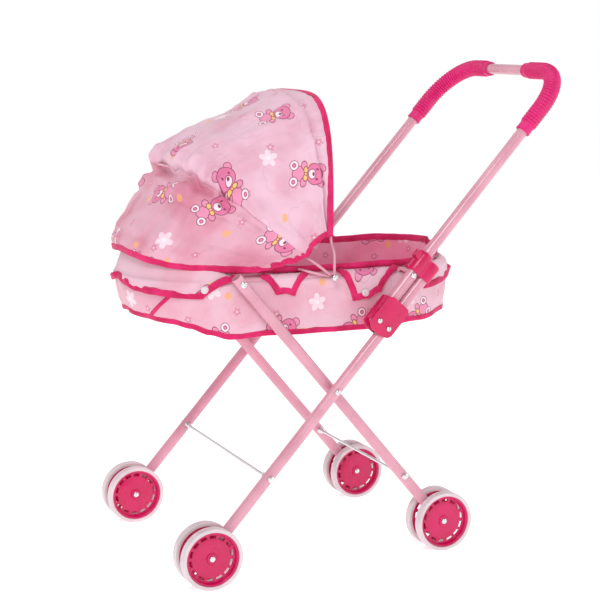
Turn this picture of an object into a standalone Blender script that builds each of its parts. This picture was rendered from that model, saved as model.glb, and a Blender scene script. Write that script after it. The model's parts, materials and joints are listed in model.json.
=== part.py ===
"""Folding doll stroller: a scissor frame of painted tube, a U handle, a fabric carrycot with a
hooped hood, and four twin-disc wheels.

Metres, +Z up. The handle is at +Y, the hood end at -Y, and +X is the left side as it is pushed.
The origin is on the floor at the middle of the bounding box.

The side view is set out from the scissor pivot. "Along" runs up a front leg tube, "off" is at right
angles to it, towards the hood. Three pivots carry the fold: the scissor pivot, the handle pin in the
bracket, and the bolt between handle and carrycot ring.
"""

from math import atan2, cos, hypot, pi, sin

import bmesh
import bpy
from mathutils import Matrix, Vector

# Driving dimensions ------------------------------------------------------------------------------
GAP = 0.0003                 # between pieces that touch
TUBE_R = 0.0062              # all frame tubes
TUBE_WALL = 0.0009
BOLT_R = 0.0020
HOLE_R = BOLT_R + GAP
HEAD_R = 0.0038              # domed bolt heads
HEAD_HEIGHT = 0.0020
NUT_R = 0.0036               # and the flat one behind
NUT_HEIGHT = 0.0012

PIVOT_HEIGHT = 0.200         # scissor pivot above the floor
FRONT_REACH = 0.150          # front hubs ahead of the scissor pivot
REAR_REACH = 0.139           # rear hubs behind it
FRONT_TRACK = 0.1295         # half distance between the front leg tubes
LEG_CLEAR = 0.0036           # between a front leg and the rear leg inside it
LEG_END = 0.008              # tube beyond a hub or a bolt

WHEEL_R = 0.0342
TYRE_DEPTH = 0.0044
TYRE_CHAMFER = 0.0014
DISC_WIDTH = 0.0102
HUB_WEB = 0.0050             # a hub's dished face, out from the leg's side
HUB_BOSS = 0.0062            # and the face of its boss
HUB_BOSS_R = 0.0062
HUB_RIM = 0.010              # width of the sloping rim round the web
HUB_LIP = 0.004
AXLE_HEAD_R = 0.0034
WHEEL_SIDES = 24
HUB_SIDES = 16
TUBE_SIDES = 10
BOLT_SIDES = 8

BRACKET_ALONG = 0.0890       # handle pin from the scissor pivot, along the front leg
HANDLE_CLEAR = 0.0023        # between the front leg and the handle tube that folds onto it
BRACKET_BELOW = 0.010
BRACKET_ABOVE = 0.030
PLATE = 0.0022               # moulded wall of brackets and clips
PLATE_CLEAR = 0.0004
PLATE_CHAMFER = 0.002
GUARD_WALL = 0.0018          # shell on the front of the handle's foot
GUARD_SPREAD = 0.80          # radians it reaches round the tube to each side
GUARD_BELOW = 0.004

RING_HEIGHT = 0.3225         # carrycot ring, and the bolts that carry it
RING_R = 0.0045
RING_CLEAR = 0.0038          # between the ring and the rear leg beside it
RING_FRONT = 0.196           # ring centre line ahead of the scissor pivot
RING_REAR = 0.185            # and behind it

CLIP_LENGTH = 0.024
CLIP_BACK = 0.009            # jaws reach this far behind the leg's axis
CLIP_CHAMFER = 0.0045
CLIP_ABOVE_BOLT = 0.0040
CLIP_OVERLAP = 0.016         # length of leg end inside the lock clip

HANDLE_HEIGHT = 0.541        # crossbar axis
HANDLE_BEND = 0.055
HANDLE_END = 0.003           # tube beyond the handle pin
GRIP_WALL = 0.0033
GRIP_SMOOTH = 0.040          # half length of bare crossbar
GRIP_FOOT = 0.088            # lower end of a grip below the crossbar, along the tube

TUB_DEPTH = 0.0585           # ring axis to the underside of the carrycot
TUB_WALL = 0.0025
TUB_TAPER = 0.005
TUB_ROUND = 0.008            # rounding between the tub's wall and its floor
TUB_RISE = 0.012             # the ends of the tub's bottom slope up by this much
FRONT_SLOPE = 0.062          # length of the sloping bottom at the front
REAR_SLOPE = 0.030           # and at the rear
BOARD = 0.003
BOARD_MARGIN = 0.016
SKIRT_WALL = 0.0015
SKIRT_TOP = 0.0095           # below the ring axis
SKIRT_BOTTOM = 0.0570

HOOD_PIVOT_Y = 0.006         # behind the scissor pivot
HOOD_REACH = 0.200
HOOD_FLARE = 0.0076          # the hood's half width beyond the ring's
HOOD_FABRIC = 0.0014
WIRE_R = 0.0015
WIRE_CLEAR = 0.0005          # between hoop feet, side by side on their rivet
HOOD_FOOT = 0.042            # fabric starts this far from the rivet
WIRE_START = 0.0045          # wire ends, from the rivet's axis
WIRE_CRANK = (0.018, 0.010)  # the wires crank inwards between these, below the fabric
NEST_CLEAR = 0.0008          # between each hood layer and the next one out
HOOP_ANGLES = (14.5, 38.0, 90.0)          # above the ring, in front of the pivot
PANEL_ANGLES = ((13.0, 41.0), (39.0, 64.0), (62.0, 91.5))
HOOP_SHAPES = (3.0, 3.4, 4.0)             # superellipse powers, lower to front

ROD_R = 0.0016
ROD_COLLAR = 0.007           # cone collars inside the tubes, and nuts outside
ROD_COLLAR_R = 0.0045
ROD_NUT = 0.0034
ROD_NUT_R = 0.0035
FRONT_ROD_ALONG = -0.119
REAR_ROD_ALONG = -0.142

# Layout worked out from them ---------------------------------------------------------------------
REAR_TRACK = FRONT_TRACK - 2 * TUBE_R - LEG_CLEAR
FLOOR_TO_HUB = WHEEL_R
HANDLE_OFF = 2 * TUBE_R + HANDLE_CLEAR           # handle tube axis off the front leg axis
GRIP_R = TUBE_R + GAP + GRIP_WALL
RING_HALF_WIDTH = REAR_TRACK - TUBE_R - RING_CLEAR - RING_R
HOOD_HALF_WIDTH = RING_HALF_WIDTH + HOOD_FLARE
WIRE_PITCH = 2 * WIRE_R + WIRE_CLEAR
NEST = HOOD_FABRIC + 2 * WIRE_R + NEST_CLEAR     # each hood layer lies this much inside the last


def unit(y, z):
    size = hypot(y, z)
    return Vector((0, y / size, z / size))


FRONT_U = unit(FRONT_REACH, PIVOT_HEIGHT - FLOOR_TO_HUB)
FRONT_N = Vector((0, -FRONT_U.z, FRONT_U.y))
REAR_U = unit(-REAR_REACH, PIVOT_HEIGHT - FLOOR_TO_HUB)

SKIRT_OUT = RING_R + GAP + SKIRT_WALL


def height_reach(start, direction, height):
    """Distance from start along direction to the given height."""
    return (height - start.z) / direction.z


PIVOT = Vector((0, 0, PIVOT_HEIGHT))
PIN = PIVOT + FRONT_U * BRACKET_ALONG + FRONT_N * HANDLE_OFF
COT_BOLT_ALONG = height_reach(PIN, FRONT_U, RING_HEIGHT)
CROSSBAR_ALONG = height_reach(PIN, FRONT_U, HANDLE_HEIGHT)
COT_BOLT = PIN + FRONT_U * COT_BOLT_ALONG
REAR_TOP_ALONG = height_reach(PIVOT, REAR_U, RING_HEIGHT)
REAR_TOP = PIVOT + REAR_U * REAR_TOP_ALONG
CROSSBAR = PIN + FRONT_U * CROSSBAR_ALONG
# The box runs from the skirt's front to the grips, and its middle is moved to the origin.
MIDDLE = (CROSSBAR.y + GRIP_R - RING_FRONT - SKIRT_OUT) / 2
SHIFT = Vector((0, -MIDDLE, 0))
FRONT_LEG_TOP = BRACKET_ALONG + COT_BOLT_ALONG + CLIP_ABOVE_BOLT + CLIP_OVERLAP
CLIP_START = COT_BOLT_ALONG + CLIP_ABOVE_BOLT
HOOD_PIVOT = Vector((0, HOOD_PIVOT_Y, RING_HEIGHT))


def at(x, point):
    """The point in the part's frame, x across and the side-view point otherwise."""
    return Vector((x, point.y, point.z)) + SHIFT


def side_name(side):
    return "left" if side > 0 else "right"


# Materials and objects ---------------------------------------------------------------------------
def material(name, colour, roughness, metallic=0.0):
    made = bpy.data.materials.new(name)
    made.use_nodes = True
    shader = made.node_tree.nodes["Principled BSDF"]
    shader.inputs["Base Color"].default_value = (*colour, 1.0)
    shader.inputs["Roughness"].default_value = roughness
    shader.inputs["Metallic"].default_value = metallic
    return made


def clear_scene():
    for old in list(bpy.data.objects):
        bpy.data.objects.remove(old, do_unlink=True)


clear_scene()
PAINT = material("pink_paint", (0.72, 0.30, 0.38), 0.35)
PLASTIC = material("magenta_plastic", (0.72, 0.02, 0.14), 0.35)
GRIP = material("magenta_grip", (0.74, 0.02, 0.16), 0.5)
WHITE = material("white_plastic", (0.86, 0.84, 0.86), 0.4)
STEEL = material("bright_steel", (0.75, 0.75, 0.76), 0.25, 1.0)
FABRIC = material("pink_fabric", (0.90, 0.55, 0.68), 0.85)
BOARD_MAT = material("card_board", (0.75, 0.72, 0.68), 0.8)


def body(name, point):
    """An empty on the body's joint axis, which its pieces hang from."""
    empty = bpy.data.objects.new("body_" + name, None)
    empty.location = point
    bpy.context.scene.collection.objects.link(empty)
    return empty


def add(name, mesh_maker, finish, parent, location=None, turn=0.0):
    """An object whose mesh, in the part's frame, is moved to hang from its body's empty."""
    mesh = mesh_maker if isinstance(mesh_maker, bpy.types.Mesh) else to_mesh(name, mesh_maker)
    made = bpy.data.objects.new(name, mesh)
    bpy.context.scene.collection.objects.link(made)
    if not mesh.materials:
        mesh.materials.append(finish)
    made.parent = parent
    if location is None:
        mesh.transform(Matrix.Translation(-parent.location))
    else:
        made.location = location - parent.location
    made.rotation_euler.z = turn
    return made


def to_mesh(name, bm):
    bmesh.ops.recalc_face_normals(bm, faces=bm.faces)
    if bm.calc_volume(signed=True) < 0:
        bmesh.ops.reverse_faces(bm, faces=bm.faces)
    mesh = bpy.data.meshes.new(name)
    bm.to_mesh(mesh)
    bm.free()
    mesh.shade_smooth()
    mesh.set_sharp_from_angle(angle=0.6)
    return mesh


def cut(piece, cutters):
    """Takes each cutter's shape out of the piece. The cutters stay hidden beside it."""
    for number, bm in enumerate(cutters):
        cutter = add(f"{piece.name}_cut{number}", bm, STEEL, piece.parent)
        cutter.hide_render = True
        cutter.display_type = "WIRE"
        boolean = piece.modifiers.new(f"cut{number}", "BOOLEAN")
        boolean.operation = "DIFFERENCE"
        boolean.object = cutter


# Shapes ------------------------------------------------------------------------------------------
def circle(centre, first, second, radius, sides, phase=0.0):
    turns = [2 * pi * (k + phase) / sides for k in range(sides)]
    return [centre + first * (radius * cos(t)) + second * (radius * sin(t)) for t in turns]


def skin(bm, rings, loop=False):
    """Quads between each ring of vertices and the next."""
    rows = [[bm.verts.new(p) for p in ring] for ring in rings]
    pairs = list(zip(rows, rows[1:] + rows[:1])) if loop else list(zip(rows, rows[1:]))
    for row, after in pairs:
        for k in range(len(row)):
            n = (k + 1) % len(row)
            bm.faces.new((row[k], row[n], after[n], after[k]))
    return rows


def path_rings(path, normal, radius, sides, closed=False):
    """Circles square to a flat path whose plane has the given normal."""
    rings = []
    for k, point in enumerate(path):
        before = path[k - 1] if closed or k else point
        after = path[(k + 1) % len(path)] if closed or k < len(path) - 1 else point
        into = (point - before).normalized() if point != before else (after - point).normalized()
        out = (after - point).normalized() if after != point else into
        along = (into + out).normalized()
        across = along.cross(normal).normalized()
        stretch = 1 / max(0.5, along.dot(into))
        rings.append(circle(point, across * stretch, normal, radius, sides, 0.5))
    return rings


def rod(path, normal, radius, sides=TUBE_SIDES, closed=False):
    """A solid round bar along a flat path."""
    bm = bmesh.new()
    rows = skin(bm, path_rings(path, normal, radius, sides, closed), closed)
    if not closed:
        bm.faces.new(rows[0])
        bm.faces.new(rows[-1])
    return bm


def pipe(path, normal, radius, wall, sides=TUBE_SIDES):
    """A hollow tube along a flat path, open at both ends."""
    bm = bmesh.new()
    outer = path_rings(path, normal, radius, sides)
    inner = path_rings(path, normal, radius - wall, sides)
    skin(bm, outer + inner[::-1], loop=True)
    return bm


def turned(profile, centre, sides=16, phase=0.5, ring=False):
    """A solid turned about X: profile is (x, radius). A ring's profile closes on itself."""
    bm = bmesh.new()
    x_axis, y_axis, z_axis = Vector((1, 0, 0)), Vector((0, 1, 0)), Vector((0, 0, 1))
    rings = [circle(centre + x_axis * x, y_axis, z_axis, r, sides, phase) for x, r in profile]
    rows = skin(bm, rings, loop=ring)
    if not ring:
        bm.faces.new(rows[0])
        bm.faces.new(rows[-1])
    return bm


def drill(x, point, radius=HOLE_R):
    """A cutter across one tube and the plates on both sides of it."""
    half = TUBE_R + 3 * PLATE
    return turned([(-half, radius), (half, radius)], at(x, point), BOLT_SIDES)


def prism(outline, start, direction):
    """An outline of points pushed along a direction."""
    bm = bmesh.new()
    rings = [[start + p for p in outline], [start + p + direction for p in outline]]
    rows = skin(bm, rings)
    bm.faces.new(rows[0])
    bm.faces.new(rows[-1])
    return bm


def arc(centre, first, second, radius, start, end, steps):
    """Points round an arc from one angle to another, in radians."""
    turns = [start + (end - start) * k / steps for k in range(steps + 1)]
    return [centre + first * (radius * cos(t)) + second * (radius * sin(t)) for t in turns]


def oval(offset, height, steps=8, trim=0.0):
    """The carrycot's outline, moved out from the ring's centre line by offset. A trim of 1 draws its
    ends in by the length of the sloping bottom."""
    radius = RING_HALF_WIDTH + offset
    x_axis, y_axis = Vector((1, 0, 0)), Vector((0, 1, 0))
    rear = Vector((0, RING_REAR - RING_HALF_WIDTH - trim * REAR_SLOPE, height)) + SHIFT
    front = Vector((0, RING_HALF_WIDTH - RING_FRONT + trim * FRONT_SLOPE, height)) + SHIFT
    ends = arc(rear, x_axis, y_axis, radius, 0, pi, steps)
    sides = []
    for k in (1, 2):
        sides.append(ends[-1].lerp(front - x_axis * radius, k / 3))
    ends += sides
    ends += arc(front, x_axis, y_axis, radius, pi, 2 * pi, steps)
    return ends + [Vector((-p.x, p.y, p.z)) for p in reversed(sides)]


# Frame -------------------------------------------------------------------------------------------
X_AXIS = Vector((1, 0, 0))
FRAME = body("push_frame", at(0, PIVOT))
REAR_BODY = body("rear_legs", at(0, PIVOT))
HANDLE_BODY = body("handle", at(0, PIN))
COT_BODY = body("carrycot", at(0, COT_BOLT))
MID_HOOP_BODY = body("hood_mid", at(0, HOOD_PIVOT))
FRONT_HOOP_BODY = body("hood_front", at(0, HOOD_PIVOT))
FRONT_HUB = PIVOT - FRONT_U * hypot(FRONT_REACH, PIVOT_HEIGHT - FLOOR_TO_HUB)
REAR_HUB = PIVOT - REAR_U * hypot(REAR_REACH, PIVOT_HEIGHT - FLOOR_TO_HUB)


def leg(name, x, direction, hub, top_along, holes, parent):
    """A straight leg tube from just past its hub to its top end, drilled for its bolts."""
    ends = [hub - direction * LEG_END, PIVOT + direction * top_along]
    made = add(name, pipe([at(x, p) for p in ends], X_AXIS, TUBE_R, TUBE_WALL), PAINT, parent)
    cut(made, [drill(x, p, r) for p, r in holes])


def make_legs(side):
    name = side_name(side)
    front_holes = [
        (FRONT_HUB, HOLE_R),
        (PIVOT, HOLE_R),
        (PIVOT + FRONT_U * BRACKET_ALONG, HOLE_R),
        (PIVOT + FRONT_U * FRONT_ROD_ALONG, ROD_R + GAP),
    ]
    rear_holes = [
        (REAR_HUB, HOLE_R),
        (PIVOT, HOLE_R),
        (REAR_TOP, HOLE_R),
        (PIVOT + REAR_U * REAR_ROD_ALONG, ROD_R + GAP),
    ]
    leg(f"front_leg_{name}", side * FRONT_TRACK, FRONT_U, FRONT_HUB, FRONT_LEG_TOP, front_holes, FRAME)
    rear_end = REAR_TOP_ALONG + LEG_END + BOLT_R
    leg(f"rear_leg_{name}", side * REAR_TRACK, REAR_U, REAR_HUB, rear_end, rear_holes, REAR_BODY)


def domed_head(face, radius):
    """The profile of a head whose flat side is on a face."""
    return [(face, radius), (face + HEAD_HEIGHT / 2, 0.95 * radius), (face + HEAD_HEIGHT, 0.53 * radius)]


def headed(side, start, end, heads):
    """A bolt across the part, from start out to end, with a domed head beyond each end named."""
    profile = [(start, BOLT_R), (end, BOLT_R)]
    if "out" in heads:
        profile += domed_head(end, HEAD_R)
    if "in" in heads:
        profile = [(start - NUT_HEIGHT, 0.9 * NUT_R), (start, NUT_R)] + profile
    return [(side * x, r) for x, r in profile]


def make_bolts(side):
    name = side_name(side)
    outer_face = FRONT_TRACK + TUBE_R + GAP
    plate_face = FRONT_TRACK + TUBE_R + PLATE_CLEAR + PLATE + GAP
    plate_inside = FRONT_TRACK - TUBE_R - PLATE_CLEAR - PLATE - GAP
    rear_outer = REAR_TRACK + TUBE_R + GAP
    rear_inner = REAR_TRACK - TUBE_R + GAP
    ring_face = RING_HALF_WIDTH + RING_R + GAP

    def bolt(title, point, start, end, heads, parent):
        bm = turned(headed(side, start, end, heads), at(0, point), BOLT_SIDES)
        add(f"{title}_{name}", bm, STEEL, parent)

    bolt("scissor_bolt", PIVOT, rear_inner, outer_face, "out", FRAME)
    bolt("bracket_rivet", PIVOT + FRONT_U * BRACKET_ALONG, plate_inside + PLATE, plate_face, "out", FRAME)
    bolt("handle_pin", PIN, plate_inside + PLATE, plate_face, "out", HANDLE_BODY)
    bolt("rear_cot_bolt", COT_BOLT, ring_face, outer_face, "out", HANDLE_BODY)
    bolt("front_cot_bolt", REAR_TOP, ring_face, rear_outer, "out", REAR_BODY)


def tie_rod(name, point, track, parent):
    """A round rod across the legs, with a cone collar inside each tube and a nut outside it."""
    inside = track - TUBE_R - GAP
    outside = track + TUBE_R + GAP
    half = [
        (inside - ROD_COLLAR, ROD_R), (inside - 0.8 * ROD_COLLAR, 0.8 * ROD_COLLAR_R), (inside, ROD_COLLAR_R),
        (inside, ROD_R), (outside, ROD_R),
        (outside, ROD_NUT_R), (outside + 0.8 * ROD_NUT, ROD_NUT_R), (outside + ROD_NUT, 0.55 * ROD_NUT_R),
    ]
    profile = [(-x, r) for x, r in reversed(half)] + half
    add(name, turned(profile, at(0, point), BOLT_SIDES), STEEL, parent)


def section(points, point, reach):
    """A prism whose outline is (x, off) about a point, pushed along the front leg."""
    outline = [X_AXIS * x + FRONT_N * off for x, off in points]
    return prism(outline, point, FRONT_U * reach)


def make_bracket(side):
    """A channel riveted to the leg, open in front so that the handle can swing out of it."""
    inner = TUBE_R + PLATE_CLEAR
    outer = inner + PLATE
    front = HANDLE_OFF + TUBE_R - 2 * GAP
    corner = outer - PLATE_CHAMFER
    outline = [
        (-outer, -corner), (-corner, -outer), (corner, -outer),
        (outer, -corner), (outer, front), (inner, front), (inner, -inner),
        (-inner, -inner), (-inner, front), (-outer, front),
    ]
    x = side * FRONT_TRACK
    start = at(x, PIVOT + FRONT_U * (BRACKET_ALONG - BRACKET_BELOW))
    made = add(f"handle_bracket_{side_name(side)}",
               section(outline, start, BRACKET_BELOW + BRACKET_ABOVE), PLASTIC, FRAME)
    cut(made, [drill(x, PIVOT + FRONT_U * BRACKET_ALONG), drill(x, PIN)])


def handle_path():
    """The handle's centre line, from the left foot round to the right, in the part's frame."""
    foot = PIN - FRONT_U * (BOLT_R + HANDLE_END)
    knee = CROSSBAR - FRONT_U * HANDLE_BEND
    straight = FRONT_TRACK - HANDLE_BEND
    corner = arc(at(straight, knee), X_AXIS, FRONT_U, HANDLE_BEND, 0, pi / 2, 6)
    half = [at(FRONT_TRACK, foot), at(FRONT_TRACK, grip_foot())] + corner
    half.append(at(GRIP_SMOOTH, CROSSBAR))
    return half + [Vector((-p.x, p.y, p.z)) for p in reversed(half)]


def grip_foot():
    return CROSSBAR - FRONT_U * GRIP_FOOT


def make_handle():
    path = handle_path()
    tube = add("handle_tube", pipe(path, FRONT_N, TUBE_R, TUBE_WALL), PAINT, HANDLE_BODY)
    cut(tube, [drill(side * FRONT_TRACK, p) for side in (1, -1) for p in (PIN, COT_BOLT)])
    grip = path[1:len(path) // 2]
    wall = GRIP_R - TUBE_R - GAP
    for side in (1, -1):
        line = [Vector((p.x * side, p.y, p.z)) for p in grip]
        add(f"grip_{side_name(side)}", pipe(line, FRONT_N, GRIP_R, wall), GRIP, HANDLE_BODY)


def make_end_guard(side):
    """A plastic shell on the front of the handle's foot, between the bracket's two cheeks."""
    inner = TUBE_R + GAP
    centre = at(side * FRONT_TRACK, PIN - FRONT_U * GUARD_BELOW)
    outer_arc = arc(Vector(), FRONT_N, X_AXIS, inner + GUARD_WALL, -GUARD_SPREAD, GUARD_SPREAD, 6)
    inner_arc = arc(Vector(), FRONT_N, X_AXIS, inner, GUARD_SPREAD, -GUARD_SPREAD, 6)
    reach = FRONT_U * (BRACKET_ABOVE + GUARD_BELOW / 2)
    shell = prism(outer_arc + inner_arc, centre, reach)
    add(f"handle_end_guard_{side_name(side)}", shell, PLASTIC, HANDLE_BODY)


def make_clip(side, parent):
    """A snap clip: a sleeve on the handle tube with two jaws over the end of the leg."""
    inner = TUBE_R + PLATE_CLEAR
    outer = inner + PLATE
    x = side * FRONT_TRACK
    front = HANDLE_OFF + outer
    corner, lip = outer - CLIP_CHAMFER, outer - PLATE / 2
    outline = [
        (-outer, PLATE - CLIP_BACK), (-lip, -CLIP_BACK), (lip, -CLIP_BACK), (outer, PLATE - CLIP_BACK),
        (outer, front - CLIP_CHAMFER), (corner, front), (-corner, front), (-outer, front - CLIP_CHAMFER),
    ]
    start = at(x, PIN - FRONT_N * HANDLE_OFF + FRONT_U * CLIP_START)
    made = add(f"lock_clip_{side_name(side)}", section(outline, start, CLIP_LENGTH), PLASTIC, parent)
    margin = FRONT_U * PLATE
    past = FRONT_N * (2 * CLIP_BACK)
    bore = circle(FRONT_N * HANDLE_OFF, X_AXIS, FRONT_N, TUBE_R + GAP, TUBE_SIDES, 0.5)
    jaw = arc(Vector(), X_AXIS, FRONT_N, inner, 0, pi, 6) + [X_AXIS * -inner - past, X_AXIS * inner - past]
    reach = FRONT_U * CLIP_LENGTH + 2 * margin
    cut(made, [prism(bore, start - margin, reach), prism(jaw, start - margin, reach)])


# Wheels ------------------------------------------------------------------------------------------
def tyre_mesh():
    """One tyre, from x = 0 out. Its sides touch the wheel's circle, so a flat is at the bottom."""
    outer = WHEEL_R / cos(pi / WHEEL_SIDES)
    inner = WHEEL_R - TYRE_DEPTH
    shoulder = outer - TYRE_CHAMFER
    profile = [
        (0, inner), (0, shoulder), (TYRE_CHAMFER, outer),
        (DISC_WIDTH - TYRE_CHAMFER, outer), (DISC_WIDTH, shoulder), (DISC_WIDTH, inner),
    ]
    return to_mesh("tyre", turned(profile, Vector(), WHEEL_SIDES, 0.5, ring=True))


def hub_mesh():
    """One dished hub, with a hole for the axle pin and a deep outer rim."""
    rim = (WHEEL_R - TYRE_DEPTH) * cos(pi / HUB_SIDES) - 3 * GAP
    back, front = 2 * GAP, DISC_WIDTH - 3 * GAP
    profile = [
        (2 * back, HOLE_R), (2 * back, rim - HUB_LIP), (back, rim),
        (front, rim), (front - back, rim - HUB_LIP),
        (HUB_WEB, rim - HUB_RIM), (HUB_WEB, HUB_BOSS_R + HUB_LIP / 2),
        (HUB_BOSS, HUB_BOSS_R), (HUB_BOSS, HOLE_R),
    ]
    return to_mesh("hub", turned(profile, Vector(), HUB_SIDES, 0.5, ring=True))


TYRE_MESH = tyre_mesh()
HUB_MESH = hub_mesh()


def make_wheel(name, x, hub):
    """Twin discs on both sides of a leg's end, on one pin."""
    centre = at(x, hub)
    wheel = body(f"{name}_wheel", centre)
    start = TUBE_R + 2 * GAP
    for place, turn in (("outer", 0.0 if x > 0 else pi), ("inner", pi if x > 0 else 0.0)):
        step = X_AXIS * (start if turn == 0.0 else -start)
        add(f"{name}_tyre_{place}", TYRE_MESH, WHITE, wheel, centre + step, turn)
        add(f"{name}_hub_{place}", HUB_MESH, PLASTIC, wheel, centre + step, turn)
    face = start + HUB_BOSS + GAP
    half = [(face, BOLT_R)] + domed_head(face, AXLE_HEAD_R)
    profile = [(-p, r) for p, r in reversed(half)] + half
    add(f"{name}_axle_pin", turned(profile, centre, BOLT_SIDES), STEEL, wheel)


# Carrycot ----------------------------------------------------------------------------------------
def hemmed(points):
    """The skirt's lower edge, raised round the front end as the tub's bottom is."""
    front = min(p.y for p in points)
    lifts = [max(0.0, 1 - (p.y - front) / FRONT_SLOPE) for p in points]
    return [p + Vector((0, 0, TUB_RISE * lift)) for p, lift in zip(points, lifts)]


def make_carrycot():
    add("carrycot_ring", rod(oval(0, RING_HEIGHT), Vector((0, 0, 1)), RING_R, 8, True), PAINT, COT_BODY)
    bottom = RING_HEIGHT - TUB_DEPTH
    top = RING_HEIGHT - RING_R - 2 * GAP
    wide, foot = -GAP, -GAP - TUB_TAPER
    floor = bottom + TUB_WALL
    rings = [
        oval(foot - TUB_ROUND, bottom, trim=1.0),
        oval(foot - TUB_TAPER / 2, bottom + TUB_RISE / 2, trim=0.45),
        oval(foot, bottom + TUB_RISE), oval(wide, top), oval(wide - TUB_WALL, top),
        oval(foot - TUB_WALL, bottom + TUB_RISE + TUB_WALL),
        oval(foot - TUB_WALL - TUB_TAPER / 2, floor + TUB_RISE / 2, trim=0.5),
        oval(foot - 1.5 * TUB_ROUND, floor, trim=1.0),
    ]
    bm = bmesh.new()
    rows = skin(bm, rings)
    bm.faces.new(rows[0])
    bm.faces.new(rows[-1])
    add("carrycot_tub", bm, FABRIC, COT_BODY)

    board = [oval(foot - BOARD_MARGIN, z, trim=1.0) for z in (floor + GAP, floor + GAP + BOARD)]
    bm = bmesh.new()
    rows = skin(bm, board)
    bm.faces.new(rows[0])
    bm.faces.new(rows[-1])
    add("base_board", bm, BOARD_MAT, COT_BODY)

    inside = RING_R + GAP
    low, high = RING_HEIGHT - SKIRT_BOTTOM, RING_HEIGHT - SKIRT_TOP
    rings = [hemmed(oval(inside, low)), hemmed(oval(inside + SKIRT_WALL, low)),
             oval(inside + SKIRT_WALL, high), oval(inside, high)]
    bm = bmesh.new()
    skin(bm, rings, loop=True)
    add("carrycot_skirt", bm, FABRIC, COT_BODY)


# Hood --------------------------------------------------------------------------------------------
def hood_point(x, reach, angle):
    """A point at a reach from the hood's pivot axis, angle radians above the ring, towards the front."""
    return at(x, HOOD_PIVOT + Vector((0, -reach * cos(angle), reach * sin(angle))))


def arch(layer, power):
    """(x, reach) from the left foot over to the top, for a layer that deep inside the hood."""
    width, tall = HOOD_HALF_WIDTH - layer, HOOD_REACH - layer
    start = (HOOD_FOOT / tall) ** (power / 2)
    start = atan2(start, (1 - start * start) ** 0.5)
    turns = [start + (pi / 2 - start) * k / 9 for k in range(10)]
    return [(width * cos(t) ** (2 / power) if t < pi / 2 - 1e-6 else 0.0,
             tall * sin(t) ** (2 / power)) for t in turns]


def raised(line):
    """The line with its foot lifted a little up its first stretch, clear of the hoop's bend."""
    (x, low), (after, high) = line[:2]
    return [(x + 0.15 * (after - x), low + 0.15 * (high - low))] + line[1:]


def make_hoop(name, order, angle, power, parent):
    """A wire hoop. Its feet step out beside the ring and share one rivet on each side."""
    layer = NEST * (2 - order) + HOOD_FABRIC + WIRE_R + 2 * GAP
    foot = RING_HALF_WIDTH + RING_R + WIRE_R + 3 * GAP + WIRE_PITCH * order
    body_line = arch(layer, power)
    inward = body_line[0][0] - foot
    crank_start, crank_end = (HOOD_FOOT - length for length in WIRE_CRANK)
    half = [(foot, WIRE_START), (foot, crank_start), (foot + inward * 0.45, crank_end)]
    half += body_line
    line = half + [(-x, reach) for x, reach in reversed(half[:-1])]
    normal = Vector((0, -sin(angle), -cos(angle)))
    path = [hood_point(x, reach, angle) for x, reach in line]
    add(name, rod(path, normal, WIRE_R, 6), PAINT, parent)


def make_panel(name, order, angles, power, parent):
    """A hood panel: a curved sheet turned about the pivot axis between two angles."""
    layer = NEST * (2 - order)
    steps = 3
    bm = bmesh.new()
    outer = raised(arch(layer, power))
    inner = raised(arch(layer + HOOD_FABRIC, power))
    rings = []
    for k in range(steps + 1):
        turn = (angles[0] + (angles[1] - angles[0]) * k / steps) * pi / 180
        line = outer + [(-x, r) for x, r in reversed(outer[:-1])]
        back = inner + [(-x, r) for x, r in reversed(inner[:-1])]
        rings.append([hood_point(x, r, turn) for x, r in line + back[::-1]])
    rows = skin(bm, rings)
    for row in (rows[0], rows[-1]):
        half = len(row) // 2
        for k in range(half - 1):
            bm.faces.new((row[k], row[k + 1], row[-k - 2], row[-k - 1]))
    add(name, bm, FABRIC, parent)


def make_hood():
    parents = (COT_BODY, MID_HOOP_BODY, FRONT_HOOP_BODY)
    names = ("lower", "mid", "front")
    for order, (name, parent) in enumerate(zip(names, parents)):
        angle = HOOP_ANGLES[order] * pi / 180
        make_hoop(f"hood_hoop_{name}", order, angle, HOOP_SHAPES[order], parent)
        make_panel(f"hood_panel_{name}", order, PANEL_ANGLES[order], HOOP_SHAPES[order], parent)
    start = RING_HALF_WIDTH + RING_R + GAP
    end = start + 3 * WIRE_PITCH + 3 * GAP
    for side in (1, -1):
        centre = at(0, HOOD_PIVOT)
        add(f"hood_rivet_{side_name(side)}", turned(headed(side, start, end, "out"), centre, BOLT_SIDES),
            STEEL, COT_BODY)


def build():
    for side in (1, -1):
        make_legs(side)
        make_bolts(side)
        make_bracket(side)
        make_end_guard(side)
        clip_body = body(f"lock_{side_name(side)}", at(side * FRONT_TRACK, PIN + FRONT_U * CLIP_START))
        make_clip(side, clip_body)
        make_wheel(f"front_{side_name(side)}", side * FRONT_TRACK, FRONT_HUB)
        make_wheel(f"rear_{side_name(side)}", side * REAR_TRACK, REAR_HUB)
    tie_rod("front_tie_rod", PIVOT + FRONT_U * FRONT_ROD_ALONG, FRONT_TRACK, FRAME)
    tie_rod("rear_tie_rod", PIVOT + REAR_U * REAR_ROD_ALONG, REAR_TRACK, REAR_BODY)
    make_handle()
    make_carrycot()
    make_hood()


build()
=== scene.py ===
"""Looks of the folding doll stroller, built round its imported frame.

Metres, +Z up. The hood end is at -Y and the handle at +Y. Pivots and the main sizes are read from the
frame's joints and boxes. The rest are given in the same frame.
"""

import json
from math import atan2, cos, pi, radians, sin, sqrt

import bmesh
import bpy
from mathutils import Matrix, Vector, noise


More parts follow.
